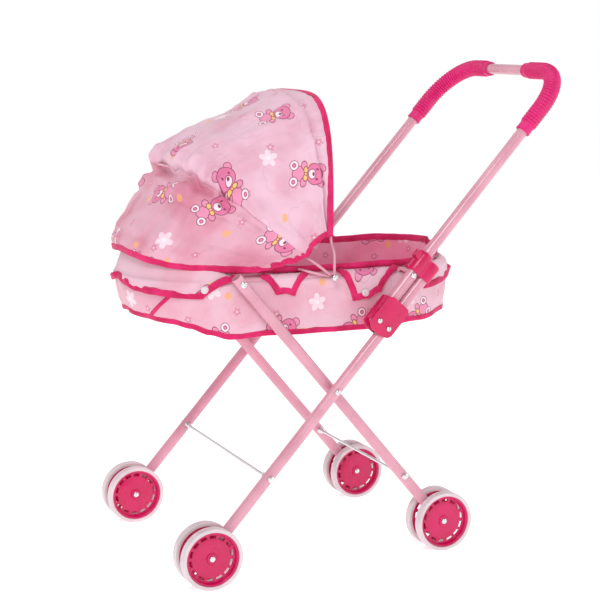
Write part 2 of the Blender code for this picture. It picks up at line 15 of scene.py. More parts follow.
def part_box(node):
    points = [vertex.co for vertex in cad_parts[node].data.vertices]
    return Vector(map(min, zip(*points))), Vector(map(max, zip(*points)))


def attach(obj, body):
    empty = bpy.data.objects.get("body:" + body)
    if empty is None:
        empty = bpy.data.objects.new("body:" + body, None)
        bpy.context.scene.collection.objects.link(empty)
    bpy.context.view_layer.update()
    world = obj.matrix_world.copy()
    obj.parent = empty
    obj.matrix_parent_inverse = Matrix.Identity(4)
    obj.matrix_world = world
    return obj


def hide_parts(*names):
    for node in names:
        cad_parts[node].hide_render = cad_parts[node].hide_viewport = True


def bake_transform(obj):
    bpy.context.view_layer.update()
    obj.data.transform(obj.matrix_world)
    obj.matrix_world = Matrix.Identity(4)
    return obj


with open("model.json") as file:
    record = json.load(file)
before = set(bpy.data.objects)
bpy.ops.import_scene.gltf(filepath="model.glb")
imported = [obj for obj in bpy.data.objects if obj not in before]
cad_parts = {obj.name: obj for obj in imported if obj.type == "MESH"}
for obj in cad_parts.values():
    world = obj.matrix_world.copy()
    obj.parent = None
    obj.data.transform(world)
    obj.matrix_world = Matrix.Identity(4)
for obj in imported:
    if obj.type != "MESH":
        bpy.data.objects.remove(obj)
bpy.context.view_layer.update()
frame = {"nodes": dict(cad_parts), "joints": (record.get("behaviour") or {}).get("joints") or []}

# Places read from the frame ------------
JOINTS = {joint["name"]: joint for joint in frame["joints"]}
SIDES = ((1, "left"), (-1, "right"))
X_AXIS, Y_AXIS, Z_AXIS = Vector((1, 0, 0)), Vector((0, 1, 0)), Vector((0, 0, 1))


def joint_point(name):
    return Vector(JOINTS[name]["pos_m"])


def size(node):
    low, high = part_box(node)
    return high - low


def middle(node):
    low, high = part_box(node)
    return (low + high) / 2


PIVOT = joint_point("rear_leg_fold")
PIN = joint_point("handle_fold")
COT_BOLT = joint_point("carrycot_tilt")
HOOD_PIVOT = joint_point("hood_mid_hinge")
FRONT_HUB = joint_point("front_left_wheel_spin")
REAR_HUB = joint_point("rear_left_wheel_spin")
FRONT_U = (COT_BOLT - PIN).normalized()
FRONT_N = X_AXIS.cross(FRONT_U)
REAR_U = (PIVOT - Vector((0, REAR_HUB.y, REAR_HUB.z))).normalized()
FRONT_TRACK = FRONT_HUB.x
REAR_TRACK = REAR_HUB.x
TUBE_R = size("front_leg_left").x / 2
TUBE_WALL = 0.0009
BOLT_R = 0.0020
GAP = 0.0003
RING_Z = COT_BOLT.z
RING_HALF = size("carrycot_ring").z / 2
RING_R = RING_HALF / cos(pi / 8)      # the CAD ring is an eight-sided tube
REAR_TOP = PIVOT + REAR_U * ((RING_Z - PIVOT.z) / REAR_U.z)
HANDLE_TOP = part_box("handle_tube")[1].z - TUBE_R
CROSSBAR = PIN + FRONT_U * ((HANDLE_TOP - PIN.z) / FRONT_U.z)


def flat(point):
    """The side-view place of a point, with x taken away."""
    return Vector((0, point.y, point.z))


def at(x, point):
    return Vector((x, point.y, point.z))


# Camera, floor and light ---------------
CAMERA_AZIMUTH, CAMERA_ELEVATION = radians(66.04), radians(9.74)    # round from the front, above level
CAMERA_PLACE = (1.64250, -0.76273, 0.58791)
CAMERA_LENS = 94.47            # mm, on a 36 mm sensor
FLOOR_GLOW = 0.56              # keeps the floor near white without washing out its shadow


def make_camera():
    """The photograph's view: a long lens from the front left, a little above the carrycot."""
    azimuth, elevation = CAMERA_AZIMUTH, CAMERA_ELEVATION
    right = Vector((cos(azimuth), sin(azimuth), 0))
    back = Vector((sin(azimuth) * cos(elevation), -cos(azimuth) * cos(elevation), sin(elevation)))
    up = back.cross(right)
    camera = bpy.data.objects.new("camera", bpy.data.cameras.new("camera"))
    camera.data.lens = CAMERA_LENS
    camera.data.sensor_width = 36.0
    camera.data.clip_end = 30.0
    turn = Matrix((right, up, back)).transposed().to_4x4()
    camera.matrix_world = Matrix.Translation(CAMERA_PLACE) @ turn
    bpy.context.scene.collection.objects.link(camera)
    bpy.context.scene.camera = camera


def area_light(name, place, target, width, power):
    light = bpy.data.objects.new(name, bpy.data.lights.new(name, "AREA"))
    light.data.shape = "SQUARE"
    light.data.size = width
    light.data.energy = power
    light.location = place
    light.rotation_euler = (Vector(target) - Vector(place)).to_track_quat("-Z", "Y").to_euler()
    bpy.context.scene.collection.objects.link(light)


def make_studio():
    """A glowing floor, a white sky that greys overhead, and three soft lights."""
    bm = bmesh.new()
    bmesh.ops.create_grid(bm, x_segments=1, y_segments=1, size=6)
    shader = Finish("studio_floor")
    shader.set(colour=(0.90, 0.90, 0.90), rough=0.9)
    shader.put("Emission Color", (1.0, 1.0, 1.0, 1.0))
    shader.put("Emission Strength", FLOOR_GLOW)
    floor = add_mesh("studio_floor", bm, shader.material)
    world = bpy.data.worlds.new("studio")
    world.use_nodes = True
    sky = Nodes(world.node_tree)
    height = sky.add("ShaderNodeSeparateXYZ", 2, {0: sky.add("ShaderNodeTexCoord", 0)})
    shade = sky.mix(sky.step(height, 0.22, 0.55), (1.0, 1.0, 1.0), (0.38, 0.38, 0.39))
    sky.tree.links.new(shade, world.node_tree.nodes["Background"].inputs["Color"])
    bpy.context.scene.world = world
    bpy.context.scene.view_settings.view_transform = "Standard"
    area_light("key", (1.5, -1.1, 2.0), (0, 0, 0.35), 0.7, 18)
    area_light("fill", (1.2, 1.7, 1.1), (0, 0, 0.3), 1.2, 6)
    area_light("top", (-0.6, -0.2, 2.0), (0, 0, 0.2), 1.4, 8)


# Materials -----------------------------
class Nodes:
    """A short way to wire a material: each call adds one node and returns its output."""

    def __init__(self, tree):
        self.tree = tree

    def add(self, kind, output=0, inputs=(), **settings):
        node = self.tree.nodes.new(kind)
        for key, value in settings.items():
            setattr(node, key, value)
        for key, value in dict(inputs).items():
            self.feed(node.inputs[key], value)
        return node.outputs[output]

    def feed(self, socket, value):
        """Links a node's output to a socket, or sets the socket's plain value."""
        if isinstance(value, bpy.types.NodeSocket):
            self.tree.links.new(value, socket)
        else:
            socket.default_value = value

    def math(self, operation, first, second=0.0, third=0.0):
        return self.add("ShaderNodeMath", 0, {0: first, 1: second, 2: third}, operation=operation)

    def vector(self, operation, first, second=(0, 0, 0), output=0):
        return self.add("ShaderNodeVectorMath", output, {0: first, 1: second}, operation=operation)

    def step(self, value, low, high, start=0.0, end=1.0):
        """A smooth change from start to end while the value goes from low to high."""
        ends = {"Value": value, "From Min": low, "From Max": high, "To Min": start, "To Max": end}
        return self.add("ShaderNodeMapRange", 0, ends, interpolation_type="SMOOTHSTEP")

    def mix(self, factor, first, second):
        """A colour between two, given as outputs or as plain (red, green, blue)."""
        colours = [(*value, 1.0) if isinstance(value, tuple) else value for value in (first, second)]
        sockets = {0: factor, 6: colours[0], 7: colours[1]}
        return self.add("ShaderNodeMix", 2, sockets, data_type="RGBA")

    def noise(self, vector, scale, detail=2.0):
        return self.add("ShaderNodeTexNoise", 0, {"Vector": vector, "Scale": scale, "Detail": detail})


class Finish(Nodes):
    """A Principled material with bump, whose plain values are set on the shader's own sockets."""

    def __init__(self, name):
        self.material = bpy.data.materials.new(name)
        self.material.use_nodes = True
        super().__init__(self.material.node_tree)
        self.shader = self.tree.nodes["Principled BSDF"]
        self.place = self.add("ShaderNodeTexCoord", 3)

    def put(self, socket, value):
        self.feed(self.shader.inputs[socket], value)

    def set(self, colour=None, rough=None, metal=None, coat=None, sheen=None, specular=None):
        sockets = {"Base Color": colour, "Roughness": rough, "Metallic": metal, "Coat Weight": coat,
                   "Sheen Weight": sheen, "Specular IOR Level": specular}
        for socket, value in sockets.items():
            if value is None:
                continue
            self.put(socket, (*value, 1.0) if isinstance(value, tuple) else value)

    def bump(self, height, distance, strength=1.0):
        sockets = {"Height": height, "Distance": distance, "Strength": strength}
        self.put("Normal", self.add("ShaderNodeBump", 0, sockets))


def enamel():
    """Rose pink paint on tube: a clear gloss over faint orange peel, darker in patches."""
    made = Finish("rose_enamel")
    patch = made.noise(made.place, 26.0, 4.0)
    colour = made.mix(made.step(patch, 0.35, 0.7), (0.66, 0.285, 0.375), (0.74, 0.355, 0.445))
    made.set(colour=colour, rough=made.step(patch, 0.3, 0.8, 0.27, 0.37), coat=0.5, specular=0.5)
    made.put("Coat Roughness", 0.08)
    made.bump(made.noise(made.place, 700.0, 2.0), 0.0001, 0.25)
    return made.material


def plastic(name, dark, light, low, high, grain=900.0, depth=0.00012, coat=0.25):
    """Moulded plastic: slow changes of colour and gloss, and a fine moulded grain."""
    made = Finish(name)
    slow = made.noise(made.place, 30.0, 3.0)
    fine = made.noise(made.place, grain, 3.0)
    made.set(colour=made.mix(made.step(slow, 0.3, 0.72), dark, light),
             rough=made.step(slow, 0.3, 0.75, low, high), coat=coat, specular=0.5)
    made.put("Coat Roughness", 0.12)
    made.bump(fine, depth, 0.35)
    return made.material


def steel():
    """Bright plated steel, with fine turning marks and smudges."""
    made = Finish("bright_steel")
    smudge = made.noise(made.place, 240.0, 4.0)
    fine = made.noise(made.place, 2600.0, 2.0)
    made.set(colour=made.mix(smudge, (0.62, 0.62, 0.64), (0.86, 0.86, 0.87)),
             rough=made.step(smudge, 0.3, 0.75, 0.16, 0.34), metal=1.0)
    made.bump(fine, 0.00005, 0.3)
    return made.material


def weave(made, flat_place, pitch):
    """Height of a plain weave: two sets of threads that pass over each other."""
    turns = 2 * pi / pitch
    scaled = made.vector("MULTIPLY", flat_place, (turns, turns, turns))
    parts = made.add("ShaderNodeSeparateXYZ", 0, {0: scaled}).node
    across = made.math("SINE", parts.outputs[0])
    along = made.math("SINE", parts.outputs[1])
    return made.math("MULTIPLY", made.math("MULTIPLY", across, along), 0.5)


CREASE_DEPTH = 0.00100
WEAVE_PITCH, TAPE_PITCH = 0.00075, 0.0011


def creases(made, flat_place):
    """Soft creases of thin polyester, stretched one way, over its weave."""
    slow = made.noise(flat_place, 34.0, 2.0)
    warped = made.vector("MULTIPLY", flat_place, (1.0, 0.45, 1.0))
    folds = made.noise(warped, 95.0, 3.0)
    rough = made.math("MULTIPLY_ADD", folds, 0.5, made.math("MULTIPLY", slow, 0.8))
    threads = made.math("MULTIPLY", weave(made, flat_place, WEAVE_PITCH), 0.05)
    made.bump(made.math("ADD", rough, threads), CREASE_DEPTH, 0.9)


def binding_cloth():
    """Magenta bias tape: a fine diagonal rib, with the edge stitched flat."""
    made = Finish("magenta_binding")
    uv = made.add("ShaderNodeUVMap", 0)
    slow = made.noise(made.place, 60.0, 3.0)
    turned_uv = made.add("ShaderNodeMapping", 0, {"Vector": uv, "Rotation": (0, 0, radians(45))})
    rib = weave(made, turned_uv, TAPE_PITCH)
    puckers = made.noise(made.vector("MULTIPLY", uv, (1.0, 0.3, 1.0)), 260.0, 2.0)
    made.set(colour=made.mix(made.step(slow, 0.3, 0.7), (0.56, 0.006, 0.085), (0.76, 0.016, 0.155)),
             rough=0.62, sheen=0.12, specular=0.25)
    made.bump(made.math("ADD", made.math("MULTIPLY", rib, 0.25), puckers), 0.0007, 0.7)
    return made.material


class Print(Finish):
    """Pale pink printed polyester. The print lies on the flat cloth, whose UV map is in metres."""

    OUTLINE = (0.24, 0.035, 0.085)
    TEDDY_SCALE = 1.42             # over the millimetres that its ellipses are given in

    def __init__(self, name, base, deep):
        super().__init__(name)
        self.cloth = self.add("ShaderNodeUVMap", 0)
        self.ellipse_group = ellipse_group()
        slow = self.noise(self.cloth, 17.0, 3.0)
        self.colour = self.mix(self.step(slow, 0.38, 0.68), base, deep)
        self.petals()
        self.dots(0.058, (0.021, 0.013), 0.0040, 0.62, (0.93, 0.42, 0.10))
        self.blooms(0.054, (0.044, 0.031), 0.0044, (0.62, 0.10, 0.22), 0.50)
        self.blooms(0.113, (0.013, 0.087), 0.0105, (0.97, 0.86, 0.92), 0.55)
        self.teddies()
        self.set(colour=self.colour, rough=0.50, sheen=0.2, specular=0.5)
        creases(self, self.cloth)

    def cells(self, pitch, offset, jitter=0.0, turn=0.0):
        """Repeats the cloth in square cells: (place from the cell's middle, a random number for it)."""
        moved = self.vector("ADD", self.cloth, (offset[0], offset[1], 0))
        scaled = self.vector("DIVIDE", moved, (pitch, pitch, 1))
        row = self.math("FLOOR", self.add("ShaderNodeSeparateXYZ", 1, {0: scaled}))
        brick = self.math("MULTIPLY", self.math("PINGPONG", row, 1.0), 0.5)
        shifted = self.vector("ADD", scaled, self.add("ShaderNodeCombineXYZ", 0, {0: brick}))
        cell = self.vector("FLOOR", shifted)
        tag = self.add("ShaderNodeTexWhiteNoise", 0, {0: cell}, noise_dimensions="2D")
        spread = self.add("ShaderNodeTexWhiteNoise", 1, {0: cell}, noise_dimensions="2D")
        inside = self.vector("SUBTRACT", self.vector("FRACTION", shifted), (0.5, 0.5, 0.0))
        inside = self.vector("MULTIPLY", inside, (pitch, pitch, 0))
        push = self.vector("SUBTRACT", spread, (0.5, 0.5, 0.5))
        inside = self.vector("ADD", inside, self.vector("MULTIPLY", push, (jitter, jitter, 0)))
        if turn:
            angle = self.math("MULTIPLY", self.math("SUBTRACT", tag, 0.5), turn)
            sockets = {"Vector": inside, "Angle": angle}
            inside = self.add("ShaderNodeVectorRotate", 0, sockets, rotation_type="Z_AXIS")
        return inside, tag

    def paint(self, mask, colour, strength=1.0):
        """Lays a colour over the cloth where the mask is 1."""
        if strength < 1.0:
            mask = self.math("MULTIPLY", mask, strength)
        self.colour = self.mix(mask, self.colour, colour)

    def inside_of(self, distance, edge=0.00025):
        return self.step(distance, -edge, edge, 1.0, 0.0)

    def line_on(self, distance, width=0.00026):
        return self.step(self.math("ABSOLUTE", distance), width * 0.5, width * 1.5, 1.0, 0.0)

    def ellipse(self, place, centre, radii):
        """Signed distance, in metres, to an ellipse given in millimetres."""
        sockets = {"Place": place, "Centre": (centre[0] / 1000, centre[1] / 1000, 0),
                   "Radii": (radii[0] / 1000, radii[1] / 1000, 1)}
        return self.add("ShaderNodeGroup", 0, sockets, node_tree=self.ellipse_group)

    def petals(self):
        """Large pale flower outlines, drawn as one thin grey-pink line."""
        place = self.cells(0.058, (0.03, 0.05), 0.016, 2 * pi)[0]
        shape = self.lobes(place, 5, 0.0185, 0.0045)
        self.paint(self.line_on(shape, 0.00028), (0.62, 0.30, 0.42), 0.60)

    def lobes(self, place, count, radius, swell):
        """Signed distance, roughly, to a flower of rounded petals."""
        parts = self.add("ShaderNodeSeparateXYZ", 0, {0: place}).node
        angle = self.math("ARCTAN2", parts.outputs[1], parts.outputs[0])
        wave = self.math("ABSOLUTE", self.math("SINE", self.math("MULTIPLY", angle, count / 2)))
        edge = self.math("MULTIPLY_ADD", wave, swell, radius - swell)
        return self.math("SUBTRACT", self.vector("LENGTH", place, output=1), edge)

    def dots(self, pitch, offset, radius, share, colour):
        """Round dots in a share of the cells."""
        place, tag = self.cells(pitch, offset, pitch * 0.35)
        disc = self.inside_of(self.math("SUBTRACT", self.vector("LENGTH", place, output=1), radius), 0.0006)
        chosen = self.math("LESS_THAN", tag, share)
        self.paint(self.math("MULTIPLY", disc, chosen), colour, 0.72)

    def blooms(self, pitch, offset, radius, colour, strength):
        """Small five-petalled flowers with a pale eye."""
        place = self.cells(pitch, offset, pitch * 0.3, 2 * pi)[0]
        shape = self.lobes(place, 5, radius, radius * 0.5)
        self.paint(self.inside_of(shape, 0.0005), colour, strength)
        eye = self.math("SUBTRACT", self.vector("LENGTH", place, output=1), radius * 0.24)
        self.paint(self.inside_of(eye), (0.98, 0.80, 0.86), 0.8)
        self.paint(self.line_on(shape, 0.00022), (0.55, 0.12, 0.24), strength * 0.6)

    def limbs(self, place, shapes, fill):
        """Paints joined ellipses in one colour, with a dark outline round each."""
        for centre, radii in shapes:
            distance = self.ellipse(place, centre, radii)
            self.paint(self.inside_of(distance), fill)
            self.paint(self.line_on(distance), self.OUTLINE)

    def teddies(self):
        """A plain sitting teddy with a bow, one in each cell, turned at random."""
        place = self.cells(0.083, (0.0, 0.0), 0.014, 4.2)[0]
        place = self.vector("DIVIDE", place, (self.TEDDY_SCALE, self.TEDDY_SCALE, 1))
        body, face, pale = (0.80, 0.27, 0.44), (0.76, 0.18, 0.36), (0.95, 0.74, 0.82)
        self.limbs(place, [((0, -5.5), (5.6, 6.2))], body)
        self.limbs(place, [((-6.6, -2.6), (3.4, 2.3)), ((6.6, -2.6), (3.4, 2.3))], body)
        self.limbs(place, [((-6.2, -10.5), (3.6, 3.2)), ((6.2, -10.5), (3.6, 3.2))], pale)
        self.limbs(place, [((-6.2, -10.6), (1.5, 1.3)), ((6.2, -10.6), (1.5, 1.3))], face)
        self.limbs(place, [((-6.4, 11.6), (3.3, 3.2)), ((6.4, 11.6), (3.3, 3.2))], body)
        self.limbs(place, [((0, 6.4), (8.3, 6.9))], face)
        self.limbs(place, [((0, 3.8), (3.7, 2.9))], pale)
        self.limbs(place, [((0, 5.0), (1.2, 0.8)), ((-3.9, 7.6), (0.6, 0.7)), ((3.9, 7.6), (0.6, 0.7))],
                   self.OUTLINE)
        self.limbs(place, [((-3.1, -1.2), (2.6, 1.6)), ((3.1, -1.2), (2.6, 1.6)), ((0, -1.1), (1.1, 1.1))],
                   (0.90, 0.55, 0.16))


def ellipse_group():
    """A node group that gives the rough distance, in metres, from a place to an ellipse."""
    found = bpy.data.node_groups.get("ellipse_distance")
    if found:
        return found
    tree = bpy.data.node_groups.new("ellipse_distance", "ShaderNodeTree")
    for name in ("Place", "Centre", "Radii"):
        tree.interface.new_socket(name, in_out="INPUT", socket_type="NodeSocketVector")
    tree.interface.new_socket("Distance", in_out="OUTPUT", socket_type="NodeSocketFloat")
    wires = Nodes(tree)
    entry = tree.nodes.new("NodeGroupInput")
    leave = tree.nodes.new("NodeGroupOutput")
    moved = wires.vector("SUBTRACT", entry.outputs[0], entry.outputs[1])
    scaled = wires.vector("DIVIDE", moved, entry.outputs[2])
    length = wires.vector("LENGTH", scaled, output=1)
    across = wires.add("ShaderNodeSeparateXYZ", 0, {0: entry.outputs[2]}).node
    radius = wires.math("MINIMUM", across.outputs[0], across.outputs[1])
    distance = wires.math("MULTIPLY", wires.math("SUBTRACT", length, 1.0), radius)
    tree.links.new(distance, leave.inputs[0])
    return tree


# Meshes --------------------------------
def add_mesh(name, bm, finish, sharp=0.6):
    mesh = bpy.data.meshes.new(name)
    bm.to_mesh(mesh)
    bm.free()
    mesh.materials.append(finish)
    mesh.shade_smooth()
    mesh.set_sharp_from_angle(angle=sharp)
    made = bpy.data.objects.new(name, mesh)
    bpy.context.scene.collection.objects.link(made)
    return made


def settle(piece):
    """Applies the piece's modifiers to its mesh."""
    graph = bpy.context.evaluated_depsgraph_get()
    mesh = bpy.data.meshes.new_from_object(piece.evaluated_get(graph))
    piece.modifiers.clear()
    piece.data = mesh


def solid(name, bm, finish, body, nodes=(), sharp=0.6):
    """A closed piece that rides on a body and stands for CAD nodes."""
    bmesh.ops.recalc_face_normals(bm, faces=bm.faces)
    made = add_mesh(name, bm, finish, sharp)
    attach(made, body)
    if nodes:
        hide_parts(*nodes)
    return made


def skin(bm, rings, loop=False, capped=False):
    """Quads between each ring of points and the next. A ring of one point closes to a tip."""
    rows = [[bm.verts.new(p) for p in ring] for ring in rings]
    pairs = list(zip(rows, rows[1:] + rows[:1])) if loop else list(zip(rows, rows[1:]))
    for row, after in pairs:
        for k in range(max(len(row), len(after))):
            n = (k + 1) % max(len(row), len(after))
            corners = [row[k % len(row)], row[n % len(row)], after[n % len(after)], after[k % len(after)]]
            unique = list(dict.fromkeys(corners))
            bm.faces.new(unique)
    if capped:
        bm.faces.new(rows[0])
        bm.faces.new(rows[-1])
    return rows


def arc(centre, first, second, radius, start, end, steps):
    turns = [start + (end - start) * k / steps for k in range(steps + 1)]
    return [centre + first * (radius * cos(t)) + second * (radius * sin(t)) for t in turns]


def circle(centre, first, second, radius, sides):
    return arc(centre, first, second, radius, 0, 2 * pi, sides)[:-1]


def travelled(path, start=0.0):
    """The distance along a path at each of its points."""
    lengths = [start]
    for before, after in zip(path, path[1:]):
        lengths.append(lengths[-1] + (after - before).length)
    return lengths


def mirrored(path, side):
    return [Vector((side * p.x, p.y, p.z)) for p in path]


def resample(path, step):
    """Points a step apart along a path."""
    lengths = travelled(path)
    count = max(2, round(lengths[-1] / step))
    found, k = [], 0
    for n in range(count + 1):
        wanted = lengths[-1] * n / count
        while k < len(path) - 2 and lengths[k + 1] < wanted:
            k += 1
        found.append(path[k].lerp(path[k + 1], (wanted - lengths[k]) / (lengths[k + 1] - lengths[k])))
    return found


def sweep(path, normal, radii, sides, closed=False):
    """Rings square to a flat path, with a radius for each point."""
    rings = []
    for k, point in enumerate(path):
        before = path[k - 1] if closed or k else point
        after = path[(k + 1) % len(path)] if closed or k < len(path) - 1 else point
        along = (after - before).normalized()
        across = along.cross(normal).normalized()
        up = across.cross(along)
        rings.append(circle(point, across, up, radii[k], sides))
    return rings


def tube(name, path, normal, body, node, finish):
    """A length of the frame's painted tube, hollow, with its ends slightly rounded."""
    edge, sides = 0.0004, 40
    first, last = (path[1] - path[0]).normalized(), (path[-1] - path[-2]).normalized()
    line = [path[0], path[0] + first * edge] + path[1:-1] + [path[-1] - last * edge, path[-1]]
    radii = [TUBE_R - edge] + [TUBE_R] * (len(line) - 2) + [TUBE_R - edge]
    inner = sweep(path, normal, [TUBE_R - TUBE_WALL] * len(path), sides)
    bm = bmesh.new()
    skin(bm, sweep(line, normal, radii, sides) + inner[::-1], loop=True)
    solid(name, bm, finish, body, [node])


def turned(profile, centre, sides=40, loop=False, axis=X_AXIS):
    """A shape turned about an axis: profile is (along, radius), and a radius of 0 is a tip."""
    first = Y_AXIS if abs(axis.x) > 0.9 else X_AXIS
    second = axis.cross(first)
    rings = []
    for along, radius in profile:
        place = centre + axis * along
        rings.append([place] if radius == 0 else circle(place, first, second, radius, sides))
    bm = bmesh.new()
    skin(bm, rings, loop=loop)
    return bm


def dome(start, radius, height):
    """A domed head's profile from its rim to its tip."""
    steps = 7
    turns = [pi / 2 * k / steps for k in range(steps + 1)]
    points = [(start + height * (0.25 + 0.75 * sin(t)), radius * cos(t)) for t in turns]
    points[-1] = (points[-1][0], 0)
    return [(start, radius)] + points


def press_cross(bm, centre, side, reach, width, depth):
    """Pushes a cross recess into a screw head that faces along X."""
    top = max(v.co.x * side for v in bm.verts)
    for v in bm.verts:
        near = v.co - centre
        y, z = abs(near.y + near.z) / sqrt(2), abs(near.y - near.z) / sqrt(2)
        if v.co.x * side > top - 2 * depth and min(y, z) < width and max(y, z) < reach:
            v.co.x -= side * depth


# Frame ---------------------------------
def make_legs(side, name, paint):
    """One side's two straight legs."""
    for title, track, along, body in (("front", FRONT_TRACK, FRONT_U, "push_frame"),
                                      ("rear", REAR_TRACK, REAR_U, "rear_legs")):
        node = f"{title}_leg_{name}"
        low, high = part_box(node)
        lean = abs(along.y) * TUBE_R
        bottom = PIVOT + along * ((low.z + lean - PIVOT.z) / along.z)
        top = PIVOT + along * ((high.z - lean - PIVOT.z) / along.z)
        path = [at(side * track, p) for p in (bottom, bottom.lerp(top, 0.5), top)]
        tube(f"{node}_tube", path, X_AXIS, body, node, paint)


def make_bolt(node, body, point, side, head, metal):
    """A screw or rivet: a shank across the tubes with a domed, cross-slotted head outside."""
    low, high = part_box(node)
    start, end = sorted((low.x * side, high.x * side))
    under = end - 0.0020
    shank = [(start, 0), (start, BOLT_R), (under, BOLT_R), (under, head)]
    profile = [(side * x, r) for x, r in shank + dome(under, head, 0.0024)[1:]]
    bm = turned(profile, flat(point), 48)
    press_cross(bm, point, side, head * 0.55, 0.0006, 0.0005)
    solid(f"{node}_screw", bm, metal, body, [node], 0.5)


def make_bolts(side, name, metal):
    leg_rivet = middle(f"bracket_rivet_{name}")
    for title, body, point, head in (
            ("scissor_bolt", "push_frame", PIVOT, 0.0034),
            ("bracket_rivet", "push_frame", leg_rivet, 0.0030),
            ("handle_pin", "handle", PIN, 0.0030),
            ("rear_cot_bolt", "handle", COT_BOLT, 0.0034),
            ("front_cot_bolt", "rear_legs", REAR_TOP, 0.0038),
            ("hood_rivet", "carrycot", HOOD_PIVOT, 0.0036)):
        make_bolt(f"{title}_{name}", body, point, side, head, metal)


def make_tie_rod(node, body, metal):
    """A thin rod with a cone collar inside each leg and a nut outside it."""
    track = FRONT_TRACK if node.startswith("front") else REAR_TRACK
    rod, inside, outside = 0.0016, track - TUBE_R - GAP, track + TUBE_R + GAP
    collar, nut = 2.7 * rod, 2.2 * rod
    half = [(inside - 0.0075, rod), (inside - 0.0065, 2.0 * rod), (inside - 0.001, collar),
            (inside, collar), (inside, rod), (outside, rod), (outside, nut), (outside + 0.0026, nut),
            (outside + 0.0034, 1.4 * rod), (outside + 0.0036, 0)]
    profile = [(-x, r) for x, r in reversed(half)] + half
    solid(f"{node}_rod", turned(profile, flat(middle(node)), 32), metal, body, [node])


HANDLE_BEND = 0.055
GRIP_REACH = 0.088             # from the crossbar down to the grip's lower end, along the handle
GRIP_STEP = 0.00046


def handle_line():
    """The left half of the handle's centre line, from its foot to the end of its bend."""
    knee = CROSSBAR - FRONT_U * HANDLE_BEND
    corner = arc(at(FRONT_TRACK - HANDLE_BEND, knee), X_AXIS, FRONT_U, HANDLE_BEND, 0, pi / 2, 40)
    foot = PIN - FRONT_U * (TUBE_R - 0.0012)
    return [at(FRONT_TRACK, foot)] + corner


def make_handle(paint, grip_finish):
    half = handle_line()
    line = half + mirrored(half[::-1], -1)
    tube("handle_tube_bent", line, FRONT_N, "handle", "handle_tube", paint)
    foot = CROSSBAR - FRONT_U * GRIP_REACH
    smooth_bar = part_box("grip_left")[0].x
    for side, name in SIDES:
        ends = [at(FRONT_TRACK, foot)] + half[1:] + [at(smooth_bar, CROSSBAR)]
        path = resample(mirrored(ends, side), GRIP_STEP)
        make_grip(f"grip_{name}", path, grip_finish)


def make_grip(node, path, finish):
    """A soft corrugated sleeve with a plain collar at each end."""
    crest, groove, collar, pitch = 0.0099, 0.0083, 0.0083, 0.0037
    step = (path[1] - path[0]).length
    total = step * (len(path) - 1)
    radii = []
    for k in range(len(path)):
        along = k * step
        near_end = min(along, total - along)
        rib = abs(sin(pi * along / pitch)) ** 0.55
        ribbed = groove + (crest - groove) * rib
        share = min(1.0, max(0.0, (near_end - 0.0095) / 0.0012))
        lip = 0.0005 * max(0.0, 1 - abs(near_end - 0.0012) / 0.0012)
        radii.append(collar + lip + (ribbed - collar) * share)
    inner = path[::16] + [path[-1]]
    bm = bmesh.new()
    outer_rings = sweep(path, FRONT_N, radii, 40)
    inner_rings = sweep(inner, FRONT_N, [TUBE_R + GAP] * len(inner), 40)
    skin(bm, outer_rings + inner_rings[::-1], loop=True)
    solid(f"{node}_sleeve", bm, finish, "handle", [node], 1.2)


def prism_x(outline, x_low, x_high, origin):
    """A side-view outline of (along, off) points about an origin on the leg axis, filled across X."""
    points = [flat(origin) + FRONT_U * a + FRONT_N * b for a, b in outline]
    bm = bmesh.new()
    skin(bm, [[p + X_AXIS * x for p in points] for x in (x_low, x_high)], capped=True)
    return bm


def carve(piece, cutters, operation="DIFFERENCE"):
    """Cuts shapes out of a piece, or joins them to it, and clears the cutters away."""
    made = []
    for number, bm in enumerate(cutters):
        bmesh.ops.recalc_face_normals(bm, faces=bm.faces)
        cutter = add_mesh(f"cutter_{number}", bm, piece.data.materials[0])
        boolean = piece.modifiers.new(cutter.name, "BOOLEAN")
        boolean.operation = operation
        boolean.object = cutter
        made.append(cutter)
    settle(piece)
    for cutter in made:
        bpy.data.objects.remove(cutter)


def soften(piece, width, segments=3, angle=0.5):
    """Rounds the piece's edges."""
    bevel = piece.modifiers.new("soft_edges", "BEVEL")
    bevel.width = width
    bevel.segments = segments
    bevel.limit_method = "ANGLE"
    bevel.angle_limit = angle
    settle(piece)
    piece.data.shade_smooth()
    piece.data.set_sharp_from_angle(angle=0.9)


def make_bracket(side, name, finish):
    """A moulded channel riveted to the leg: two cheeks and a back, open towards the hood."""
    rivet = flat(middle(f"bracket_rivet_{name}"))
    track = side * FRONT_TRACK
    inner, outer = TUBE_R + 0.0004, TUBE_R + 0.0026
    outline = [(-0.0125, 0.0150), (-0.0118, 0.0010), (-0.0085, -0.0062), (-0.0040, -0.0086),
               (0.0270, -0.0086), (0.0305, -0.0055), (0.0305, 0.0170), (0.0270, 0.0232),
               (-0.0080, 0.0232)]
    made = solid(f"handle_bracket_{name}_channel", prism_x(outline, track - outer, track + outer, rivet),
                 finish, "push_frame", [f"handle_bracket_{name}"])
    slot_outline = [(-0.02, -0.0066), (0.04, -0.0066), (0.04, 0.04), (-0.02, 0.04)]
    carve(made, [prism_x(slot_outline, track - inner, track + inner, rivet)])
    soften(made, 0.0008)


